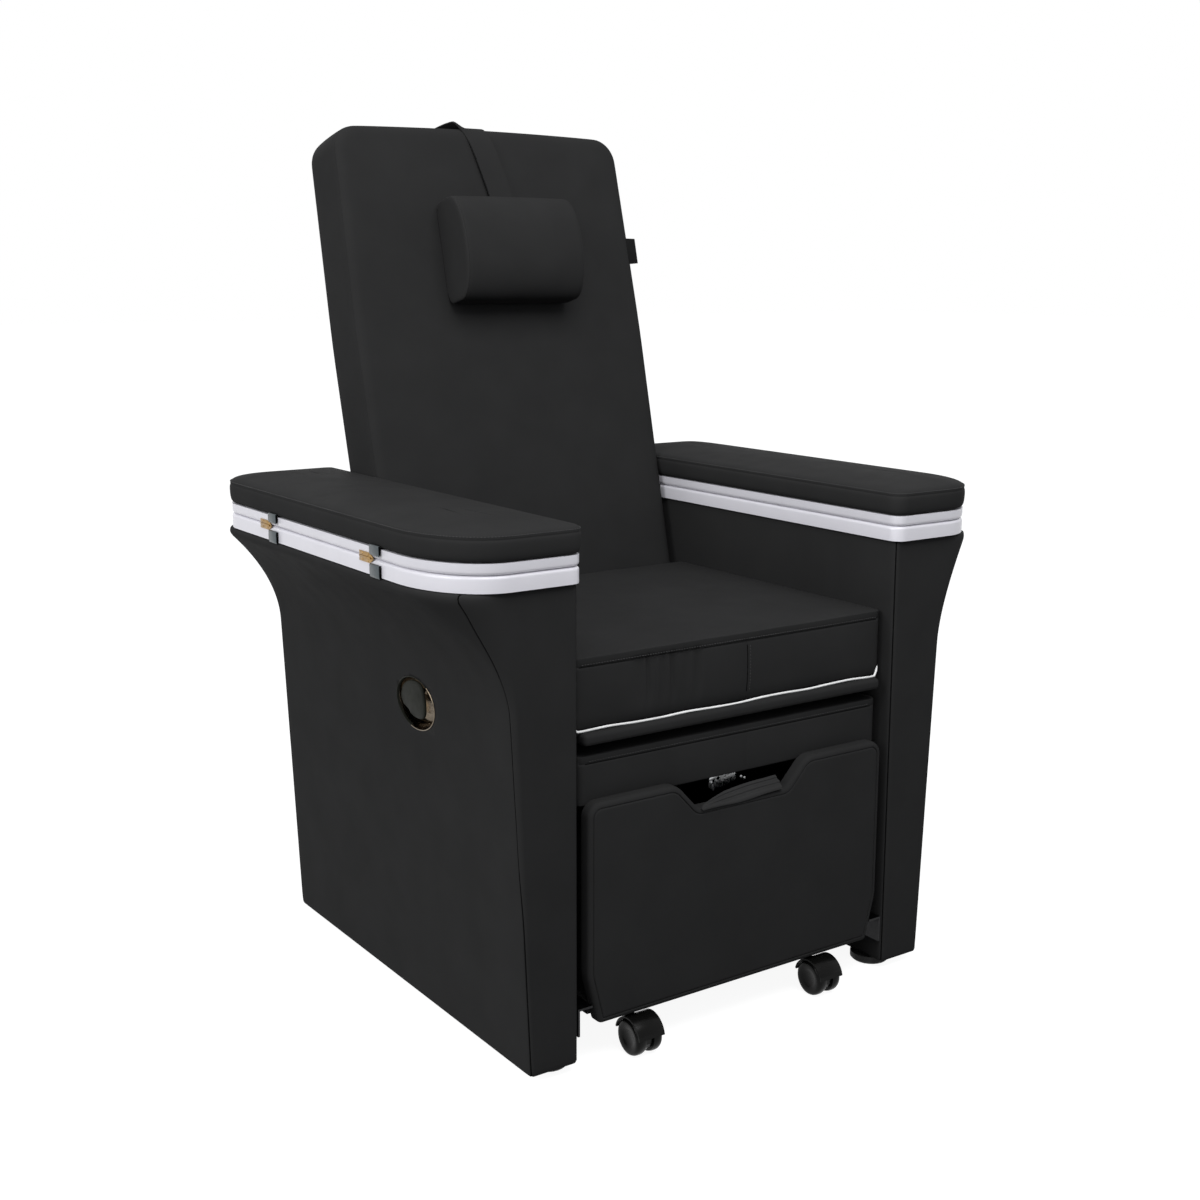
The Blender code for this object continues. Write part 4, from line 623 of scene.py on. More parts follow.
def stitch_row(name, route, body, sizes):
    """Thread along a route, one small stitch after another."""
    bm = bmesh.new()
    travelled = sizes.stitch_pitch / 2
    half = sizes.stitch_length / 2
    for start, end in zip(route, route[1:]):
        length = (end - start).length
        if length < 1e-7:
            continue
        along = (end - start) / length
        turn = Vector((1, 0, 0)).rotation_difference(along).to_matrix().to_4x4()
        shape = Matrix.Diagonal((half, sizes.thread_radius, sizes.thread_radius, 1))
        while travelled < length:
            place = Matrix.Translation(start + along * travelled)
            bmesh.ops.create_icosphere(bm, subdivisions=1, radius=1.0,
                                       matrix=place @ turn @ shape)
            travelled += sizes.stitch_pitch
        travelled -= length
    return dress(name, bm, "thread", body)


def seam_shade(name, route, body, sizes, width=1.0):
    """Near-black line sunk along a sewn seam: painted shade in the seam's groove."""
    dress(name, tube(route, sizes.seam_shade_line * width, 6), "gap", body, angle=0)


def repaint(finish, *nodes):
    """Gives CAD nodes whose shape stays a finish of their own."""
    for node in nodes:
        mesh = frame["nodes"][node].data
        mesh.materials.clear()
        mesh.materials.append(FINISHES[finish])


# ---------------------------------------------------------------- arms
FLARE_START = 0.474
FLARE_END = 0.620
FLARE_OUT = 0.0865
FLARE_POWER = 1.9
FOOT_WIDTH = 0.0742
SIDE_SLOPE = 0.0427
BAND_FRONT_CORNER = (0.086, 0.126)
BAND_REAR_CORNER = (0.065, 0.065)
COVER_FRONT_CORNER = (0.070, 0.106)
COVER_REAR_CORNER = (0.058, 0.058)
COVER_FOOT_CORNER = 0.007
COVER_CORNER_POWER = 2.2
FRONT_POINTS = 28      # outline points from the inner seam to the outer one
SIDE_POINTS = 66       # outline points from the outer seam round to the inner one
ARM_SEAM = ((0.0, 0.0023), (0.20, 0.0027), (0.30, 0.0065), (0.42, 0.0090), (0.52, 0.0115),
            (0.60, 0.0172), (0.6306, 0.0200))


def flare(height):
    """0 below the cover's flare, 1 above it."""
    return min(max(height - FLARE_START, 0) / (FLARE_END - FLARE_START), 1)


def seam_offset(height):
    """How far behind the arm's front its outer seam runs, at a height above the foot."""
    for (low, near), (high, far) in zip(ARM_SEAM, ARM_SEAM[1:]):
        if height <= high:
            break
    share = min(max((height - low) / (high - low), 0), 1)
    return near + (far - near) * share * share * (3 - 2 * share)


def cover_plan(height, inset, sizes):
    """Plan of the right arm's cover at a height above its foot, seams included."""
    outer = INNER_X + FOOT_WIDTH + SIDE_SLOPE * height + FLARE_OUT * flare(height) ** FLARE_POWER
    reach = flare(height) ** COVER_CORNER_POWER
    start = COVER_FOOT_CORNER
    front = [start + (full - start) * reach for full in COVER_FRONT_CORNER]
    rear = [start + (full - start) * reach for full in COVER_REAR_CORNER]
    steps = 20
    plan = rounded_plan((INNER_X, FRONT_Y), (outer, REAR_Y),
                        ((0.009, 0.009), front, rear, (start, start)), steps, 2, inset)
    inner_seam = steps // 2
    plan = plan[inner_seam:] + plan[:inner_seam + 1]
    level = FRONT_Y + max(seam_offset(height), inset + 0.0012)
    middle = (INNER_X + outer) / 2
    cut = next(i for i, (a, b) in enumerate(zip(plan, plan[1:]))
               if a[0] > middle and a[1] <= level < b[1])
    share = (level - plan[cut][1]) / (plan[cut + 1][1] - plan[cut][1])
    seam = tuple(Vector(plan[cut]).lerp(Vector(plan[cut + 1]), share))
    points = evenly_along(plan[:cut + 1] + [seam], FRONT_POINTS)
    points += evenly_along([seam] + plan[cut + 1:], SIDE_POINTS)
    return with_seams(points, (0, FRONT_POINTS), sizes.seam_width, sizes.seam_depth)


def cover_rings(sizes):
    """Rings of an arm cover from its foot to the padded roll under the tray."""
    foot = COVER_LOW.z
    height = COVER_HIGH.z - COVER_LOW.z
    eased = 0.004
    steps = [(0.0, eased), (0.0012, 0.0012), (eased, 0.0)]
    steps += [(eased + (FLARE_START - eased) * k / 16, 0.0) for k in range(1, 16)]
    steps += [(FLARE_START + (FLARE_END - FLARE_START) * k / 18, 0.0) for k in range(19)]
    steps += [(height - 0.0052, 0.0002), (height - 0.0024, 0.0012), (height - 0.0006, 0.0036),
              (height, 0.0075)]
    rings = []
    for level, inset in steps:
        rings.append([(x, y, foot + level) for x, y in cover_plan(level, inset, sizes)])
    return rings


def cup_frame():
    """The release cup's own frame: z out of the left arm, x up it."""
    low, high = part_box("release_cup")
    height = (low.z + high.z) / 2
    across = INNER_X + FOOT_WIDTH + SIDE_SLOPE * (height - COVER_LOW.z)
    tilt = math.atan(SIDE_SLOPE)
    turn = Matrix.Rotation(-math.pi / 2 - tilt, 4, "Y")
    return Matrix.Translation((-across, (low.y + high.y) / 2, height)) @ turn


CUP_HALF_LENGTH = 0.053
CUP_HALF_HEIGHT = 0.0365
CUP_CUT = 0.0012
CUP_DEPTH = 0.022


def oval(shrink, depth, steps=64):
    """Ring of the release cup, in the cup's frame."""
    return [(x, y, depth) for x, y in arc((0, 0), (CUP_HALF_HEIGHT - shrink,
                                                   CUP_HALF_LENGTH - shrink), 0, 360, steps)[:-1]]


def open_for_cup(cover):
    """Cuts the cup's hole through the left cover's outer face."""
    bm = skin([oval(CUP_CUT, 0.02), oval(CUP_CUT, -CUP_DEPTH - 0.001)])
    bmesh.ops.transform(bm, matrix=cup_frame(), verts=bm.verts)
    settle(cover)
    punch(cover, bm)


def arm_covers(sizes):
    """Flared arm covers, each with a seam down its outer and its inner front corner.

    A seam's groove takes the place of one outline point by five, so the middle of the inner
    one is point 2 and that of the outer one is 6 further on than its own number.
    """
    for side_name, side in SIDES:
        rings = cover_rings(sizes)
        name = "arm_cover_" + side_name
        cover = upholster("upholstered_" + name, skin(rings), "base", name, side < 0)
        if side < 0:
            open_for_cup(cover)
        for edge, index in (("inner", 2), ("outer", FRONT_POINTS + 6)):
            route = []
            for ring in rings[2:-1]:
                before, after = Vector(ring[index - 2]), Vector(ring[index + 2])
                place = Vector(ring[index]).lerp((before + after) / 2, 0.35)
                route.append(Vector((side * place.x, place.y, place.z)))
            # A near-black line of painted shade runs in each seam's groove.
            seam_shade(f"arm_seam_shade_{edge}_{side_name}", route, "base", sizes)


def band_plan(inset=0.0, steps=16, sides=2):
    """Plan of a white board or, drawn in, of the pad on it."""
    return rounded_plan((TRAY_LOW.x, TRAY_LOW.y), (TRAY_HIGH.x, TRAY_HIGH.y),
                        ((0.018, 0.018), BAND_FRONT_CORNER, BAND_REAR_CORNER, (0.008, 0.008)),
                        steps, sides, inset)


def bands(sizes):
    """The two white lacquered boards of each arm, rounded where they face each other."""
    for side_name, side in SIDES:
        for node, body, rim in (("arm_tray_" + side_name, "base", "high"),
                                ("armrest_board_" + side_name, "armrest_" + side_name, "low")):
            low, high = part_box(node)
            bm = slab(band_plan(), "Z", low.z, high.z, sizes.band_rim, 5, rim)
            dress("lacquered_" + node, bm, "lacquer", body, (node,), angle=35,
                  mirror=side < 0)


PAD_OVERHANG = 0.0022
PAD_SEAM_DROP = 0.0075
PAD_EDGE_RISE = 0.0018


def pad_rings(low, high, sizes):
    """An armrest pad from its board up: side strip, seam, rolled edge and crowned top."""
    over = -PAD_OVERHANG
    top = high.z - sizes.pad_crown
    seam = top - PAD_SEAM_DROP
    groove = sizes.seam_depth * 0.8
    rings = [(low.z, 0.005), (low.z + 0.0012, 0.0018), (low.z + 0.004, over + 0.001),
             (low.z + 0.010, over - 0.0002), (low.z + 0.018, over - 0.0007),
             (seam - 0.004, over - 0.0006), (seam - sizes.seam_width, over),
             (seam, over + groove), (seam + sizes.seam_width, over + 0.0002),
             (seam + 0.004, over + 0.0008), (top - 0.0012, over + 0.0035),
             (top + 0.0006, over + 0.0075), (top + PAD_EDGE_RISE, over + 0.013)]
    for k in range(1, 9):
        share = k / 8
        rise = PAD_EDGE_RISE + (sizes.pad_crown - PAD_EDGE_RISE) * math.sin(share * math.pi / 2)
        rings.append((top + rise, over + 0.013 + 0.0745 * share))
    return rings


def armrest_pads(sizes):
    """Armrest pads with a row of stitches above their seam."""
    for side_name, side in SIDES:
        node = "armrest_pad_" + side_name
        low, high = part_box(node)
        rings = [[(x, y, z) for x, y in band_plan(inset, 12, 10)]
                 for z, inset in pad_rings(low, high, sizes)]
        body = "armrest_" + side_name
        upholster("padded_" + node, skin(rings), body, node, side < 0)
        height = high.z - sizes.pad_crown - 0.0035
        plan = band_plan(-0.0015, 12, 10)
        route = [Vector((side * x, y, height)) for x, y in plan + plan[:1]]
        stitch_row("pad_stitches_" + side_name, route, body, sizes)


# ---------------------------------------------------------------- seat
SEAT_SEAM_X = 0.0167
PLEATS = (-0.158, -0.147, -0.138, -0.121, -0.108, -0.084, -0.066)
PLEAT_WIDTH = 0.0034
HEM_TUCK = 0.004
STITCH_OFFSET = 0.0040      # from the middle seam to its stitches
FRONT_REACH = 0.012         # how far back the front's shaping reaches, in half depths
SEAT_PAD = dict(drop=0.007, seam_drop=0.0075, seam_x=SEAT_SEAM_X, edge=0.020, cuts=(26, 13, 6),
                lid=0.0035, crown=0.0045, rise_power=2, swell=0.0030, middle_depth=1.2,
                middle_top=0.93, corner=0.013, unevenness=(0.0006, 18, 0),
                ends=(0.0006, 0.0025, 0.0048, 0.0075, 0.0105, 0.0135))
FOOT_PAD = dict(drop=0.004, seam_drop=0.0085, seam_x=0.0165, edge=0.016, cuts=(20, 10, 3),
                lid=0.0015, crown=0.0035, rise_power=1, swell=0.0022, middle_depth=0.9,
                middle_top=0.86, corner=0.010, unevenness=(0.0004, 16, 1),
                ends=(0.0006, 0.0025, 0.0050, 0.0080, 0.0105))


def sewn_box(name, node, body, sizes, look, more_x=(), more_z=(), detail=None):
    """A box pad: crowned top, swelling front with a top and a middle seam, rounded corners.

    look holds the lengths in which one pad differs from another, and detail moves a point
    further, for what only one pad has.
    """
    low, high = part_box(node)
    top = high.z - look["drop"]
    seam_z = top - look["seam_drop"]
    seam_x, edge, ends, width = look["seam_x"], look["edge"], look["ends"], sizes.seam_width
    near = width * 0.7
    across, deep, tall = look["cuts"]
    xs = spread(low.x, high.x, edge, across) + seam_levels(seam_x, width) + list(more_x)
    xs += [low.x + end for end in ends] + [high.x - end for end in ends]
    ys = spread(low.y, high.y, edge, deep) + [low.y + end for end in ends]
    zs = spread(low.z, top, 0.010, tall) + seam_levels(seam_z, width)
    zs += [top + level for level in more_z]
    bm = cage(low, (high.x, high.y, top + look["lid"]), (xs, ys, zs))
    half = (high.x - low.x) / 2
    depth = (high.y - low.y) / 2
    middle_y = (high.y + low.y) / 2
    rough, scale, rough_power = look["unevenness"]
    for vert in bm.verts:
        point = vert.co.copy()
        u, v = point.x / half, (point.y - middle_y) / depth
        w = (point.z - low.z) / (top - low.z)
        moved = vert.co
        in_front = hump(v, -1, FRONT_REACH)
        moved.z += look["crown"] * bulge(u) * bulge(v) * max(w, 0) ** look["rise_power"]
        swell = math.sin(math.pi * min(max(w, 0), 1)) * bulge(u, 6)
        moved.y -= in_front * look["swell"] * swell
        moved.y += in_front * hump(point.z, seam_z, near) * sizes.seam_depth * 1.5
        if w < look["middle_top"]:
            sunk = sizes.seam_depth * look["middle_depth"]
            moved.y += in_front * hump(point.x, seam_x, near) * sunk
        if detail:
            detail(point, moved, u, v, w)
        for side in (-1, 1):
            turned_in(moved, (side * half, low.y), (-side, 1), look["corner"])
        moved.z += rough * noise.noise(point * scale) * w ** rough_power
    upholster(name, bm, body, node)
    return low, high, top, seam_z


def front_row(low, high, edge, proud, swell, height):
    """A line across a pad's front that stands proud of it, more so in the middle."""
    half = (high.x - low.x) / 2
    return [Vector((x, low.y - proud - swell * bulge(x / half), height))
            for x in spread(low.x, high.x, edge, 40)]


def seat_cushion(sizes):
    """Seat pad with pleats on its front, a tucked hem and a rear that leans with the back."""
    low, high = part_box("seat_cushion")

    def detail(point, moved, u, v, w):
        in_front = hump(v, -1, FRONT_REACH)
        fade = max(0.0, min(1.0, (w - 0.14) / 0.42)) * (w < SEAT_PAD["middle_top"])
        for k, pleat in enumerate(PLEATS):
            share = 0.7 + 0.3 * math.sin(k * 2.1)
            fold = share * sizes.pleat_depth * hump(point.x, pleat, PLEAT_WIDTH)
            moved.y += in_front * fade * fold
        tuck = max(0.0, 1 - w / 0.10)
        moved.y += in_front * tuck ** 2 * HEM_TUCK
        moved.z += hump(v, -1, 0.10) * HEM_TUCK * max(0.0, u - 0.93) / 0.07 * tuck
        if point.y > high.y - 0.013:
            moved.y = min(moved.y, high.y + (point.z - high.z) * math.tan(LEAN))

    more_x = [*PLEATS, *(x + 0.005 for x in PLEATS)]
    low, high, top, seam_z = sewn_box("padded_seat_cushion", "seat_cushion", "base", sizes,
                                      SEAT_PAD, more_x, (0.003,), detail)
    stitch_row("seat_seam_stitches", front_row(low, high, 0.014, 0.0010, 0.0006,
                                               seam_z + 0.0030), "base", sizes)
    # A near-black line of painted shade in the top seam's groove.
    seam_shade("seat_seam_shade_line", front_row(low, high, 0.012, -0.0006, 0.0014, seam_z), "base",
                sizes, 0.42)
    stitches = []
    for k in range(21):
        height = seam_z - 0.006 - (seam_z - low.z - 0.020) * k / 20
        share = (height - low.z) / (top - low.z)
        front = low.y - SEAT_PAD["swell"] * math.sin(math.pi * share) - 0.0001
        stitches.append(Vector((SEAT_SEAM_X + STITCH_OFFSET, front, height)))
    stitch_row("seat_middle_stitches", stitches, "base", sizes)
    # The middle seam's groove gets a near-black line of painted shade.
    line = [point + Vector((-STITCH_OFFSET, 0.0012, 0)) for point in stitches]
    seam_shade("seat_middle_seam_shade", line, "base", sizes, 0.7)


def seat_piping(sizes):
    """White piping under the seat's front edge, its ends turned up at the corners."""
    low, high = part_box("seat_cushion")
    level = low.z + 0.0016
    front = low.y - 0.0012
    points = [(low.x + 0.0045, front + 0.006, level + 0.0045), (low.x + 0.0062, front + 0.001,
                                                                level + 0.0018)]
    for k in range(0, 13):
        x = low.x + 0.014 + (high.x - low.x - 0.032) * k / 12
        wave = 0.0009 * math.sin(k * 1.9) + 0.0005 * math.sin(k * 0.7 + 1)
        points.append((x, front - 0.0010 * bulge(k / 6 - 1), level - 0.0005 + wave))
    points += [(high.x - 0.0105, front + 0.0012, level + 0.0022),
               (high.x - 0.0065, front + 0.0030, level + 0.0070),
               (high.x - 0.0045, front + 0.0050, level + 0.0115)]
    route = smooth_route(points, 8)
    dress("white_seat_piping", tube(route, sizes.piping_radius, 12), "piping", "base",
          angle=0)


def seat_deck(sizes):
    """Vinyl-covered deck whose rounded lip shows under the seat."""
    low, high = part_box("seat_deck")
    lip = 0.254
    depth = 0.022
    outline = filleted([(-lip, low.y, 0.006, 4), (lip, low.y, 0.006, 4), (lip, low.y + depth, 0, 0),
                        (high.x, low.y + depth, 0, 0), (high.x, high.y, 0, 0),
                        (low.x, high.y, 0, 0), (low.x, low.y + depth, 0, 0),
                        (-lip, low.y + depth, 0, 0)])
    bm = slab(outline, "Z", low.z, high.z, 0.0065, 5)
    dress("covered_seat_deck", bm, "vinyl", "base", ("seat_deck",), angle=35)


def rear_panel(sizes):
    """Padded vinyl panel that closes the chair's rear below the seat."""
    low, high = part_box("rear_panel")
    middle = (low.x + high.x) / 2
    corners = [(low.x, low.z, 0.006, 4), (middle, low.z, 0, 0), (high.x, low.z, 0.006, 4),
               (high.x, high.z, 0.006, 4), (middle, high.z, 0, 0), (low.x, high.z, 0.006, 4)]
    levels = [(low.y, 0.003), (low.y, 0.0006), (low.y + 0.001, 0.0), (high.y - 0.0060, 0.0),
              (high.y - 0.0030, 0.0012), (high.y - 0.0012, 0.0036), (high.y - 0.0010, 0.0050),
              (high.y - 0.0010 - sizes.seam_depth, 0.0060), (high.y - 0.0010, 0.0070),
              (high.y - 0.0004, 0.0100), (high.y, 0.016)]
    bm = skin(layered(lambda inset: shrunk(corners, inset), levels))
    dress("padded_rear_panel", bm, "vinyl", "base", ("rear_panel",),
          angle=50)


# ---------------------------------------------------------------- back
BACK_REAR = 0.0368
BACK_FRONT = 0.0662
BACK_BOTTOM = 0.020
BACK_TOP = 0.767
BACK_WIDTHS = ((0.020, 0.2585), (0.450, 0.2625), (0.767, 0.2560))
BACK_CORNER = 0.040
TOP_CROWN = 0.005
BACK_CROWN = 0.006
BOARD_FRONT = 0.0055


def back_half_width(height):
    """Half the back's width at a height in its own frame."""
    for (low, narrow), (high, wide) in zip(BACK_WIDTHS, BACK_WIDTHS[1:]):
        if height <= high:
            break
    return narrow + (wide - narrow) * (height - low) / (high - low)


def back_outline(inset=0.0, corner_steps=9):
    """The back seen from the front: slightly bowed sides and rounded top corners."""
    bottom, top = BACK_BOTTOM + inset, BACK_TOP - inset
    radius = max(BACK_CORNER - inset * 0.8, 0.006)
    low, high = back_half_width(bottom) - inset, back_half_width(top) - inset
    side = []
    for k in range(1, 14):
        height = bottom + (top - bottom) * k / 14
        if height < top - radius * 1.05:
            side.append((back_half_width(height) - inset, height, 0, 0))
    while len(side) < 13:
        side.append((back_half_width(top) - inset, top - radius * 1.04, 0, 0))
    floor = [(low * share, bottom, 0, 0) for share in (-0.75, -0.5, -0.25, 0, 0.25, 0.5, 0.75)]
    crown = [(high * share, top + TOP_CROWN * bulge(share, 2), 0, 0)
             for share in (0.75, 0.5, 0.25, 0, -0.25, -0.5, -0.75)]
    corners = [(-low, bottom, 0.006, 2)] + floor + [(low, bottom, 0.006, 2)] + side
    corners += [(high, top, radius, corner_steps)] + crown + [(-high, top, radius, corner_steps)]
    corners += [(-x, z, r, s) for x, z, r, s in reversed(side)]
    return filleted(corners)


def in_back(bm):
    """Turns a mesh from the back's own frame into the chair's."""
    bmesh.ops.transform(bm, matrix=BACK, verts=bm.verts)
    return bm


def back_cushion(sizes):
    """Front cushion of the back: wide boxing strip, seam, rolled edge and crowned panel."""
    front = BACK_CROWN - BACK_FRONT
    hem = BACK_REAR - 0.0060
    seam = front + 0.0085
    groove = sizes.seam_depth
    width = sizes.seam_width
    levels = [(hem, 0.0050), (hem, 0.0016), (hem - 0.0012, 0.0003), (hem - 0.005, -0.0003),
              (hem - 0.020, -0.0010), (-0.010, -0.0012), (seam + 0.010, -0.0004),
              (seam + width, 0.0004), (seam, 0.0006 + groove), (seam - width, 0.0010),
              (seam - 0.004, 0.0025), (front + 0.0012, 0.0068), (front - 0.0008, 0.0125),
              (front - 0.0016, 0.020)]
    for k in range(1, 9):
        share = k / 8
        levels.append((front - 0.0016 - (BACK_CROWN - 0.0016) * math.sin(share * math.pi / 2),
                       0.020 + 0.165 * share))
    bm = in_back(skin(layered(back_outline, levels)))
    upholster("padded_back_cushion", bm, "backrest", "back_cushion")


def back_shell(sizes):
    """Upholstered rear of the back, let into the boxing strip, with a welted edge."""
    edge = BACK_REAR - 0.0030
    levels = [(-BOARD_FRONT, 0.006), (-BOARD_FRONT + 0.0012, 0.0032),
              (-BOARD_FRONT + 0.004, 0.0024), (BACK_REAR - 0.010, 0.0022),
              (edge - 0.0020, 0.0014), (edge, 0.0018), (BACK_REAR - 0.0008, 0.0048),
              (BACK_REAR - 0.0006, 0.0075),
              (BACK_REAR - 0.0006 - sizes.seam_depth, 0.0086),
              (BACK_REAR - 0.0004, 0.0098), (BACK_REAR, 0.016), (BACK_REAR, 0.030),
              (BACK_REAR, 0.10)]
    bm = in_back(skin(layered(back_outline, levels)))
    upholster("upholstered_back_shell", bm, "backrest", "back_shell")


def blank_tag(sizes):
    """A plain folded fabric tab in the right boxing seam."""
    outline = [(0.2480, 0.556), (0.2722, 0.558), (0.2722, 0.5995), (0.2480, 0.600)]
    bm = slab(outline, "Y", -0.0585, -0.0571, 0.0004, 2)
    dress("plain_side_tab", in_back(bm), "tab", "backrest")


PILLOW_X = 0.003
PILLOW_HALF_LENGTH = 0.1065
PILLOW_CENTRE = 0.568
PILLOW_HALF_HEIGHT = 0.081
PILLOW_DEPTH = 0.076
STRAP_HALF_WIDTH = 0.021
STRAP_THICKNESS = 0.0022
STRAP_CURL = 0.010


def pillow(sizes):
    """Headrest roll: half-round, with sewn end caps and a slightly slack middle."""
    flat = -BACK_FRONT - 0.0006
    groove = 0.013
    stations = [(1.0, 0.60), (1.0, 0.80), (0.997, 0.90), (0.990, 0.955), (0.980, 0.980),
                (0.968, 0.990), (0.962, 0.990 - groove), (0.956, 0.992), (0.935, 1.0),
                (0.80, 1.004), (0.62, 1.006), (0.40, 1.008), (0.20, 1.009), (0.0, 1.010)]
    stations = [(-u, s) for u, s in stations[:-1]] + [stations[-1]] + \
        [(u, s) for u, s in reversed(stations[:-1])]
    radii = ((0.062, 0.076), (0.012, 0.014), (0.012, 0.014), (0.062, 0.076))
    rings = []
    for along, swell in stations:
        depth = PILLOW_DEPTH * (0.30 + 0.70 * swell) / 1.01
        half = PILLOW_HALF_HEIGHT * (0.45 + 0.55 * swell) / 1.01
        outline = rounded_plan((flat - depth, PILLOW_CENTRE - half), (flat, PILLOW_CENTRE + half),
                               radii, 10, 4)
        ring = []
        for y, z in outline:
            place = Vector((PILLOW_X + along * PILLOW_HALF_LENGTH, y, z))
            slack = 0.0012 * noise.noise(place * 22) * bulge(along)
            ring.append(place + Vector((0, slack, slack)))
        rings.append(ring)
    upholster("stuffed_headrest_pillow", in_back(skin(rings)), "headrest", "headrest_pillow")


def strap_stations():
    """Centre line of the strap in the back's frame."""
    front = -BACK_FRONT - 0.0022
    rear = BACK_REAR + 0.0022
    top = BACK_TOP + TOP_CROWN
    return [(0.0165, front - 0.004, 0.640), (0.0120, front - 0.003, 0.668),
            (0.0050, front - 0.0015, 0.700), (-0.0030, front + 0.001, 0.734),
            (-0.0080, front + 0.004, 0.752), (-0.0130, front + 0.013, top - 0.001),
            (-0.0190, front + 0.028, top + 0.0042), (-0.0250, -0.020, top + 0.0048),
            (-0.0290, 0.010, top + 0.0040), (-0.0320, rear - 0.008, top + 0.0005),
            (-0.0340, rear - 0.001, top - 0.010), (-0.0340, rear, top - 0.045),
            (-0.0320, rear, 0.680), (-0.0300, rear, 0.620), (-0.0290, rear, 0.560)]


def strap(sizes):
    """Vinyl strap that carries the pillow over the top of the back, with a curled edge."""
    rings = []
    for place in smooth_route(strap_stations(), 4):
        near_top = hump(place.z, BACK_TOP + TOP_CROWN, 0.012)
        ring = []
        for across in (k / 4 for k in range(-4, 5)):
            curl = STRAP_CURL * (max(-across - 0.4, 0) / 0.6) ** 2 * near_top
            ring.append((place.x + across * STRAP_HALF_WIDTH - curl * 0.8, place.y,
                         place.z + curl))
        rings.append(ring)
    bm = skin(rings, closed=False, caps=False)
    bmesh.ops.solidify(bm, geom=bm.faces[:], thickness=STRAP_THICKNESS)
    bmesh.ops.recalc_face_normals(bm, faces=bm.faces)
    in_back(bm)
    piece = dress("headrest_strap_vinyl", bm, "vinyl", None, ("headrest_strap",),
                  angle=50)
    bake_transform(piece)


# ---------------------------------------------------------------- trolley
CUT_TOP_X = 0.112
CUT_BOTTOM_X = 0.076
CUT_BOTTOM_Z = 0.318
CUT_LIP = 0.030
CUT_FILLET = 0.016
TONGUE_RISE = 0.0200
LOWER_CLIP_HEIGHT = 0.0170


def trolley_panel(sizes):
    """Padded front panel with its hand cut-out and a seam just inside its outline."""
    low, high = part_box("trolley_panel")
    shoulder = low.z + 0.068
    taper = 0.017
    corners = [
        (low.x + taper, low.z, 0.008, 4), (0, low.z, 0, 0), (high.x - taper, low.z, 0.008, 4),
        (high.x, shoulder, 0.060, 6), (high.x, high.z, 0.020, 8),
        (CUT_TOP_X, high.z, CUT_LIP, 7), (CUT_BOTTOM_X, CUT_BOTTOM_Z, CUT_FILLET, 7),
        (0, CUT_BOTTOM_Z, 0, 0), (-CUT_BOTTOM_X, CUT_BOTTOM_Z, CUT_FILLET, 7),
        (-CUT_TOP_X, high.z, CUT_LIP, 7), (low.x, high.z, 0.020, 8),
        (low.x, shoulder, 0.060, 6)]
    levels = [(high.y, 0.0), (low.y + 0.0065, 0.0), (low.y + 0.0040, 0.0006),
              (low.y + 0.0020, 0.0020), (low.y + 0.0008, 0.0040), (low.y + 0.0004, 0.0056),
              (low.y + 0.0004, 0.0068), (low.y + 0.0004 + sizes.seam_depth, 0.0078),
              (low.y + 0.0004, 0.0088), (low.y + 0.0002, 0.0105), (low.y, 0.013)]
    bm = skin(layered(lambda inset: shrunk(corners, inset), levels))
    dress("padded_trolley_panel", bm, "vinyl", "trolley", ("trolley_panel",),
          angle=50)


def foot_pad(sizes):
    """Padded foot rest with a stitched top seam and a middle seam on its front."""
    low, high, _, seam_z = sewn_box("padded_foot_rest", "foot_pad", "trolley", sizes, FOOT_PAD)
    stitch_row("foot_rest_stitches", front_row(low, high, 0.016, 0.0002, 0, seam_z + 0.0032),
               "trolley", sizes)
    # A near-black line of painted shade in the top seam's groove.
    seam_shade("foot_rest_seam_shade_line", front_row(low, high, 0.012, -0.0010, 0.0010, seam_z),
                "trolley", sizes, 0.6)


def pull_tongue(sizes):
    """Leather flap pinned at its left end, with two creases and its right end turned up."""
    low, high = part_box("pull_tongue")
    columns, rows = 36, 14
    rings = []
    for k in range(rows + 1):
        rise = k / rows
        ring = []
        for i in range(columns + 1):
            across = i / columns
            height = TONGUE_RISE * min(1.0, 1.35 * across ** 0.55 * (1 - 0.26 * across))
            crease = 0.0030 * (hump(rise, 0.36, 0.07) + hump(rise, 0.68, 0.07))
            crease *= min(1.0, across * 4)
            x = low.x + (high.x - low.x) * across - 0.0052 * rise * across ** 3
            x -= 0.0045 * hump(rise, 0, 0.35) * across ** 8
            y = FRONT_Y - 0.0036 + 0.0164 * rise * (0.35 + 0.65 * min(1.0, across * 3))
            curl = 0.0022 * (1 - min(1.0, rise / 0.16)) ** 2
            wave = 0.0007 * math.sin(across * 10 + rise * 2)
            foot = CUT_BOTTOM_Z - 0.0012 - curl + 0.0052 * across ** 2.5 * (1 - rise)
            ring.append((x, y + crease + curl * 0.6, foot + height * rise
                         + wave * (1 - rise * 0.5)))
        rings.append(ring)
    bm = skin(rings, closed=False, caps=False)
    bmesh.ops.solidify(bm, geom=bm.faces[:], thickness=0.0020)
    bmesh.ops.recalc_face_normals(bm, faces=bm.faces)
    dress("leather_pull_tab", bm, "leather", "latch", ("pull_tongue",), levels=1,
          angle=50)


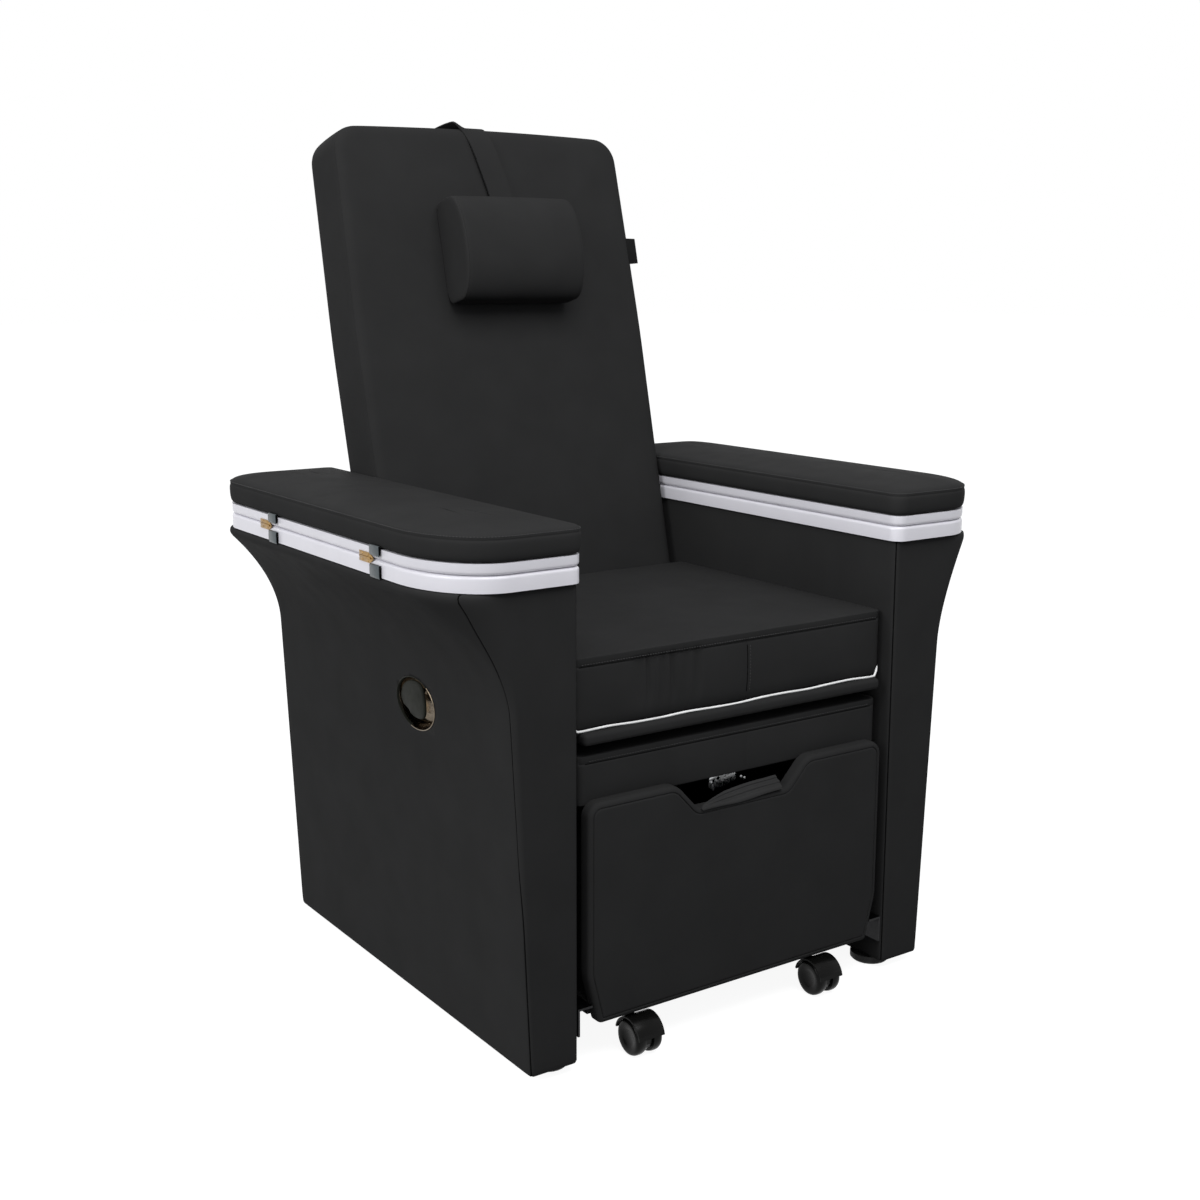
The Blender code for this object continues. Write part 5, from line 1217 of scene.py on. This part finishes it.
def latch_plate(sizes):
    """Stamped latch plate with two holes, its pin and the two screws beside it."""
    low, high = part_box("latch")
    front = low.y + 0.016
    outline = filleted([(low.x, CUT_BOTTOM_Z + 0.006, 0.003, 4),
                        (low.x + 0.026, CUT_BOTTOM_Z + 0.004, 0.003, 4),
                        (high.x, CUT_BOTTOM_Z + 0.012, 0.003, 4), (high.x, high.z, 0.003, 4),
                        (low.x + 0.020, high.z - 0.002, 0.008, 4),
                        (low.x, high.z - 0.010, 0.004, 4)])
    bm = slab(outline, "Y", front, front + 0.0016, 0.0004, 2)
    holes = bmesh.new()
    for x, z, radius in ((low.x + 0.0075, CUT_BOTTOM_Z + 0.0160, 0.0024),
                         (low.x + 0.0155, CUT_BOTTOM_Z + 0.0185, 0.0026)):
        place = Matrix.Translation((x, front, z)) @ Matrix.Rotation(math.pi / 2, 4, "X")
        bmesh.ops.create_cone(holes, cap_ends=True, segments=20, radius1=radius, radius2=radius,
                              depth=0.01, matrix=place)
    plate = dress("zinc_latch_plate", bm, "zinc", "latch", ("latch",), angle=35)
    punch(plate, holes)
    bm = lathe([(0, -0.009), (0.0016, -0.009), (0.0019, -0.0086), (0.0019, 0.0), (0.0034, 0.0),
                (0.0034, 0.0016), (0.0028, 0.0022), (0, 0.0022)], 20, (0, 0, 1),
               (low.x + 0.0050, front - 0.0022, CUT_BOTTOM_Z + 0.0125))
    dress("latch_pin", bm, "zinc", "latch", angle=35)
    for k, (x, z) in enumerate(((high.x + 0.0085, CUT_BOTTOM_Z + 0.0135),
                                (high.x + 0.0145, CUT_BOTTOM_Z + 0.0105))):
        bm = lathe([(0, -0.006), (0.0014, -0.006), (0.0014, 0.0), (0.0027, 0.0), (0.0025, 0.0008),
                    (0.0016, 0.0014), (0, 0.0016)], 20, (0, -1, 0), (x, front, z))
        dress(f"latch_screw_{k}", bm, "zinc", "latch", angle=35)


# ---------------------------------------------------------------- fittings
def release_cup(sizes):
    """Pressed dark-chrome cup with a narrow rim; its upper rear part takes the lever's near-black
    finish as painted shade.
    """
    rings = [oval(0.0004, 0.0001), oval(0.0, 0.0006), oval(0.0003, 0.0010),
             oval(0.0009, 0.0012), oval(0.0014, 0.0008), oval(0.0018, 0.0),
             oval(0.0024, -0.002), oval(0.0036, -0.008), oval(0.0060, -0.015),
             oval(0.0100, -0.0195), oval(0.0180, -0.0215), oval(0.0280, -0.0220)]
    bm = skin(rings, caps=False)
    last = [edge for edge in bm.edges if edge.is_boundary
            and all(abs(v.co.z + 0.022) < 1e-6 for v in edge.verts)]
    bmesh.ops.contextual_create(bm, geom=last)
    bmesh.ops.solidify(bm, geom=bm.faces[:], thickness=0.0010)
    # Upper rear faces near the rim take the lever's near-black finish: painted shade where the rim
    # catches no light.
    for face in bm.faces:
        place = face.calc_center_median()
        face.material_index = int(place.z > -0.0040 and place.x * 0.8 + place.y > -0.012)
    bmesh.ops.transform(bm, matrix=cup_frame(), verts=bm.verts)
    bmesh.ops.recalc_face_normals(bm, faces=bm.faces)
    cup = dress("pressed_release_cup", bm, "chrome", "base", ("release_cup",),
                angle=60)
    cup.data.materials.append(FINISHES["paddle"])


def release_lever(sizes):
    """Broad paddle just under the cup's rim, hung from a pin along its upper edge."""
    depth = 0.0035
    outline = [(0.0200, -0.0175), (0.0105, -0.0200), (-0.0010, -0.0212), (-0.0125, -0.0195),
               (-0.0195, -0.0130), (-0.0225, -0.0020), (-0.0220, 0.0120), (-0.0190, 0.0215),
               (-0.0150, 0.0270), (-0.0125, 0.0335), (-0.0095, 0.0410), (0.0, 0.0462),
               (0.0090, 0.0440), (0.0170, 0.0390), (0.0230, 0.0300), (0.0275, 0.0190),
               (0.0295, 0.0080), (0.0290, -0.0060), (0.0250, -0.0140)]
    curve = smooth_route([(*point, 0) for point in outline + outline[:1]], 4)[:-1]
    outline = [(point.x, point.y) for point in reversed(curve)]
    levels = [(-depth - 0.0016, 0.0012), (-depth - 0.0012, 0.0), (-depth + 0.0004, 0.0),
              (-depth + 0.0012, 0.0006), (-depth + 0.0017, 0.0020), (-depth + 0.0021, 0.0050)]
    rings = [[(x, y, level) for x, y in drawn_in(outline, inset)] for level, inset in levels]
    bm = skin(rings)
    bmesh.ops.transform(bm, matrix=cup_frame(), verts=bm.verts)
    bmesh.ops.recalc_face_normals(bm, faces=bm.faces)
    # The lever's near-black colour is a painted dark reflection.
    dress("release_lever_painted_dark_reflection", bm, "paddle", "lever", ("release_lever",))
    bm = lathe([(0, -0.0250), (0.0024, -0.0250), (0.003, -0.0244), (0.003, 0.0244),
                (0.0024, 0.0250), (0, 0.0250)], 24, (0, 1, 0), (0.018, 0.004, -depth - 0.0045))
    bmesh.ops.transform(bm, matrix=cup_frame(), verts=bm.verts)
    dress("release_lever_pin", bm, "chrome", "lever")


CLIP_BEND = 0.0017
CLIP_THICKNESS = 0.0011
LEAF_REACH = 0.0064
LEAF_THICKNESS = 0.0011


def clip_route(low, high):
    """Section of the left arm's clip: from the board over a rounded fold and down its face."""
    face = low.x + 0.0001
    board = high.x - 0.0006
    bend = CLIP_BEND
    route = [(board, high.z - 0.0004), (board - 0.0006, high.z - 0.0001)]
    route += arc((face + bend, high.z - bend), (bend, bend), 90, 90, 7)
    route += [(face, high.z - 0.006), (face + 0.0001, low.z + 0.0035),
              (face + 0.0006, low.z + 0.0012), (face + 0.0014, low.z)]
    return route


def stop_clips(sizes):
    """Bent zinc stop clips, each with a near-black block of painted shade filling its fold."""
    for side_name, side in SIDES:
        for end in ENDS:
            for half, body in (("lower", "base"), ("upper", "armrest_" + side_name)):
                node = f"bracket_{half}_{side_name}_{end}"
                low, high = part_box(node)
                if side > 0:      # the left arm's clip is made, then mirrored
                    low.x, high.x = -high.x, -low.x
                if half == "lower":
                    low.z = high.z - LOWER_CLIP_HEIGHT
                bm = slab(folded(clip_route(low, high), CLIP_THICKNESS), "Y", low.y, high.y,
                          0.0003, 2)
                dress("zinc_" + node, bm, "clip", body, (node,), angle=50,
                      mirror=side > 0)
                # A near-black block fills the fold: painted shade inside the fold.
                stop = [(low.x + 0.0013, low.z + 0.0016), (high.x - 0.0004, low.z + 0.0016),
                        (high.x - 0.0004, high.z - 0.0018), (low.x + 0.0013, high.z - 0.0018)]
                bm = slab(stop, "Y", low.y + 0.0003, high.y - 0.0003, 0.0003, 2)
                dress("fold_shade_" + node, bm, "gap", body, mirror=side > 0)


def hinge_leaves(sizes):
    """Brass flip hinges on the bands: two leaves that taper forward and a knuckle."""
    for side_name, side in SIDES:
        for end in ENDS:
            low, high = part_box(f"hinge_lower_{side_name}_{end}")
            parting = joint(f"armrest_{side_name}_flip")["pos_m"][2]
            rear, front = high.y, low.y
            near = min(abs(low.x), abs(high.x))
            for half, sign, body in (("lower", -1, "base"), ("upper", 1, "armrest_" + side_name)):
                reach = sign * LEAF_REACH
                start = parting + sign * 0.0002
                outline = [(rear, start), (rear - 0.0015, start + reach * 0.25),
                           (rear - 0.0008, start + reach), (front + 0.016, start + reach),
                           (front + 0.0115, start + reach * 0.72), (front + 0.004, start)]
                if sign > 0:
                    outline.reverse()
                outline = filleted([(y, z, 0.0004, 2) for y, z in outline])
                node = f"hinge_{half}_{side_name}_{end}"
                bm = slab(outline, "X", near, near + LEAF_THICKNESS, 0.0003, 2)
                for y in (rear - 0.010, front + 0.019):
                    place = Matrix.Translation((near + 0.0012, y, start + reach * 0.6))
                    bmesh.ops.create_icosphere(bm, subdivisions=2, radius=1.0, matrix=place
                                               @ Matrix.Diagonal((0.0006, 0.0015, 0.0015, 1)))
                dress("brass_" + node, bm, "brass", body, (node,), mirror=side < 0)
            bm = lathe([(0, -0.0150), (0.0011, -0.0150), (0.0013, -0.0146), (0.0013, 0.0146),
                        (0.0011, 0.0150), (0, 0.0150)], 16, (0, 1, 0),
                       (side * (near + 0.0014), (rear + front) / 2 + 0.004, parting))
            dress(f"brass_knuckle_{side_name}_{end}", bm, "brass", "base")


WHEEL_FACES = (0.0055, 0.0205)      # a wheel's inner and outer face, from the pair's middle
HOOD_RADII = (0.0282, 0.0262)


def casters(sizes):
    """Twin wheels with hub discs under a glossy hood."""
    for corner in CORNERS:
        fork = "caster_fork_" + corner
        wheels = "caster_wheels_" + corner
        low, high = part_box(wheels)
        centre = (low + high) / 2
        radius = (high.z - low.z) / 2
        near, far = WHEEL_FACES
        profile = [(0.0, far - 0.0022), (0.0105, far - 0.0022), (0.0125, far - 0.0012),
                   (0.0185, far - 0.0002), (0.0215, far - 0.0003), (radius - 0.0016, far - 0.0016),
                   (radius - 0.0003, far - 0.0042), (radius, far - 0.0070),
                   (radius, near + 0.004), (radius - 0.001, near + 0.0006), (0.021, near),
                   (0.0, near)]
        pair = lathe(profile, 48, (-1, 0, 0), centre)
        mesh = bpy.data.meshes.new("wheel")
        lathe(profile, 48, (1, 0, 0), centre).to_mesh(mesh)
        pair.from_mesh(mesh)
        bpy.data.meshes.remove(mesh)
        dress("twin_" + wheels, pair, "nylon", wheels, (wheels,), angle=35)
        outer, inner = (arc((centre.y, centre.z), (radius, radius), 12, 148, 28)
                        for radius in HOOD_RADII)
        bm = slab(outer + inner[::-1], "X", centre.x - far, centre.x + far, 0.0007, 2)
        dress("hood_" + fork, bm, "nylon", fork, angle=35)
        repaint("nylon", fork)


def plain_nodes(sizes):
    """CAD nodes whose shapes stay, with the finishes of the real pieces."""
    for side_name, _ in SIDES:
        for end in ENDS:
            repaint("rubber", f"glide_{end}_{side_name}")
        repaint("steel", "guide_rail_" + side_name)
        repaint("plywood", "arm_core_" + side_name)
    repaint("plywood", "back_frame")
    repaint("vinyl", "trolley_box")
    repaint("steel", "pivot_tube", "base_bar", "strut_cylinder")
    repaint("zinc", "strut_rod")
    repaint("rubber", "release_cable")


# ---------------------------------------------------------------- operators
class ChairOperator:
    """Shared by the operators: finds the sizes and hands them to one builder."""
    bl_options = {"REGISTER", "UNDO"}
    build = ()

    def execute(self, context):
        for builder in self.build:
            builder(context.scene.chair_sizes)
        return {"FINISHED"}


class CHAIR_OT_finishes(Operator):
    """Make the finishes that the pieces share"""
    bl_idname = "chair.finishes"
    bl_label = "Finishes"

    def execute(self, context):
        make_finishes(context.scene.chair_colours)
        return {"FINISHED"}


class CHAIR_OT_arm_covers(ChairOperator, Operator):
    """Upholster the two flared arms"""
    bl_idname = "chair.arm_covers"
    bl_label = "Arm covers"
    build = (arm_covers,)


class CHAIR_OT_armrests(ChairOperator, Operator):
    """Make the lacquered bands and the pads on the arms"""
    bl_idname = "chair.armrests"
    bl_label = "Armrests"
    build = (bands, armrest_pads)


class CHAIR_OT_seat(ChairOperator, Operator):
    """Make the seat cushion, its piping, the deck under it and the rear panel"""
    bl_idname = "chair.seat"
    bl_label = "Seat"
    build = (seat_cushion, seat_piping, seat_deck, rear_panel)


class CHAIR_OT_back(ChairOperator, Operator):
    """Make the back's cushion, shell and side tab"""
    bl_idname = "chair.back"
    bl_label = "Back"
    build = (back_cushion, back_shell, blank_tag)


class CHAIR_OT_headrest(ChairOperator, Operator):
    """Make the headrest pillow and its strap"""
    bl_idname = "chair.headrest"
    bl_label = "Headrest"
    build = (pillow, strap)


class CHAIR_OT_trolley(ChairOperator, Operator):
    """Make the trolley's panel, foot rest, pull tab and latch"""
    bl_idname = "chair.trolley"
    bl_label = "Trolley"
    build = (trolley_panel, foot_pad, pull_tongue, latch_plate)


class CHAIR_OT_fittings(ChairOperator, Operator):
    """Make the release cup, lever, hinges, clips and casters, and finish the plain pieces"""
    bl_idname = "chair.fittings"
    bl_label = "Fittings"
    build = (release_cup, release_lever, hinge_leaves, stop_clips, casters, plain_nodes)


# ---------------------------------------------------------------- stage
CAMERA_PLACE = Vector((-1.31966, -1.94091, 1.01196))
CAMERA_YAW = math.radians(34.62)
CAMERA_PITCH = math.radians(10.93)
CAMERA_ROLL = math.radians(0.10)
CAMERA_LENS = 47.595
CAMERA_SHIFT = -0.01742
WORLD_LIGHT = 0.50
FLOOR_PAINT = 0.28      # what the chair's surfaces see of the floor
FLOOR_GLOW = 0.92       # added where the camera or a gloss looks
LAMPS = (("front_softbox", (-0.3, -1.3, 2.5), (0, 0.2, 0.9), (1.8, 1.4), 38),
         ("left_softbox", (-6.0, 0.3, 3.2), (0, 0, 0.6), (4.0, 4.0), 227))


def any_ray(tree, *kinds):
    """1 for a ray of one of the kinds, else 0."""
    rays = add_node(tree, "LightPath")
    total = rays.outputs[kinds[0]]
    for kind in kinds[1:]:
        both = add_node(tree, "Math", operation="ADD", use_clamp=True)
        tree.links.new(total, both.inputs[0])
        tree.links.new(rays.outputs[kind], both.inputs[1])
        total = both.outputs["Value"]
    return total


def studio_world():
    """Soft light on the object, and plain white where the camera or a gloss looks."""
    world = bpy.data.worlds.new("studio")
    world.use_nodes = True
    tree = world.node_tree
    tree.nodes.clear()
    soft = add_node(tree, "Background", {"Color": (0.95, 0.97, 1.0, 1), "Strength": WORLD_LIGHT})
    white = add_node(tree, "Background", {"Color": (1, 1, 1, 1), "Strength": 1.0})
    mix = add_node(tree, "MixShader")
    out = add_node(tree, "OutputWorld")
    seen = any_ray(tree, "Is Camera Ray", "Is Glossy Ray", "Is Transmission Ray")
    tree.links.new(seen, mix.inputs["Fac"])
    tree.links.new(soft.outputs["Background"], mix.inputs[1])
    tree.links.new(white.outputs["Background"], mix.inputs[2])
    tree.links.new(mix.outputs["Shader"], out.inputs["Surface"])
    bpy.context.scene.world = world


def studio_floor():
    """Pale floor that stays white to the camera and keeps the chair's shadow."""
    bm = bmesh.new()
    bmesh.ops.create_grid(bm, x_segments=1, y_segments=1, size=30)
    bmesh.ops.translate(bm, vec=(0, 0, -0.0005), verts=bm.verts)
    floor = placed("studio_floor", bm)
    material = bpy.data.materials.new("pale_floor")
    material.use_nodes = True
    tree = material.node_tree
    tree.nodes.clear()
    matt = add_node(tree, "BsdfDiffuse", {"Color": (*[FLOOR_PAINT] * 3, 1)})
    glow = add_node(tree, "Emission", {"Color": (1, 1, 1, 1)})
    strength = add_node(tree, "Math", {1: FLOOR_GLOW}, operation="MULTIPLY")
    both = add_node(tree, "AddShader")
    out = add_node(tree, "OutputMaterial")
    tree.links.new(any_ray(tree, "Is Camera Ray", "Is Glossy Ray"), strength.inputs[0])
    tree.links.new(strength.outputs["Value"], glow.inputs["Strength"])
    tree.links.new(matt.outputs["BSDF"], both.inputs[0])
    tree.links.new(glow.outputs["Emission"], both.inputs[1])
    tree.links.new(both.outputs["Shader"], out.inputs["Surface"])
    floor.data.materials.append(material)


def soft_lamp(name, place, target, size, power):
    """A rectangular area light that faces a target."""
    lamp = bpy.data.lights.new(name, "AREA")
    lamp.shape = "RECTANGLE"
    lamp.size, lamp.size_y = size
    lamp.energy = power
    holder = bpy.data.objects.new(name, lamp)
    bpy.context.scene.collection.objects.link(holder)
    holder.location = place
    aim = Vector(target) - Vector(place)
    holder.rotation_euler = aim.to_track_quat("-Z", "Y").to_euler()


def studio_camera():
    """The photograph's camera."""
    data = bpy.data.cameras.new("photo_camera")
    data.sensor_width = 36
    data.lens = CAMERA_LENS
    data.shift_y = CAMERA_SHIFT
    data.clip_end = 100
    camera = bpy.data.objects.new("photo_camera", data)
    bpy.context.scene.collection.objects.link(camera)
    turn = Matrix.Rotation(-CAMERA_YAW, 4, "Z") @ Matrix.Rotation(math.pi / 2 - CAMERA_PITCH, 4, "X")
    turn = turn @ Matrix.Rotation(CAMERA_ROLL, 4, "Z")
    camera.matrix_world = Matrix.Translation(CAMERA_PLACE) @ turn
    bpy.context.scene.camera = camera


class CHAIR_OT_stage(Operator):
    """Set the pale floor, the soft lamps and the photograph's camera"""
    bl_idname = "chair.stage"
    bl_label = "Stage"

    def execute(self, context):
        studio_camera()
        studio_world()
        studio_floor()
        for lamp in LAMPS:
            soft_lamp(*lamp)
        context.scene.view_settings.view_transform = "Standard"
        return {"FINISHED"}


class CHAIR_PT_sidebar(Panel):
    """Lists the chair's operators, sizes and colours"""
    bl_idname = "CHAIR_PT_sidebar"
    bl_label = "Pedicure chair"
    bl_space_type = "VIEW_3D"
    bl_region_type = "UI"
    bl_category = "Pedicure chair"

    def draw(self, context):
        for settings in (context.scene.chair_sizes, context.scene.chair_colours):
            for name in settings.__annotations__:
                self.layout.prop(settings, name)
        for operator in OPERATORS:
            self.layout.operator(operator.bl_idname)


OPERATORS = (CHAIR_OT_finishes, CHAIR_OT_stage, CHAIR_OT_arm_covers, CHAIR_OT_armrests,
             CHAIR_OT_seat, CHAIR_OT_back, CHAIR_OT_headrest, CHAIR_OT_trolley,
             CHAIR_OT_fittings)
CLASSES = (ChairSizes, ChairColours, *OPERATORS, CHAIR_PT_sidebar)


def register():
    for item in CLASSES:
        bpy.utils.register_class(item)
    bpy.types.Scene.chair_sizes = PointerProperty(type=ChairSizes)
    bpy.types.Scene.chair_colours = PointerProperty(type=ChairColours)


def unregister():
    del bpy.types.Scene.chair_colours
    del bpy.types.Scene.chair_sizes
    for item in reversed(CLASSES):
        bpy.utils.unregister_class(item)


def main():
    """Makes the whole chair."""
    register()
    for operator in OPERATORS:
        group, name = operator.bl_idname.split(".")
        getattr(getattr(bpy.ops, group), name)()


if __name__ == "__main__":
    main()
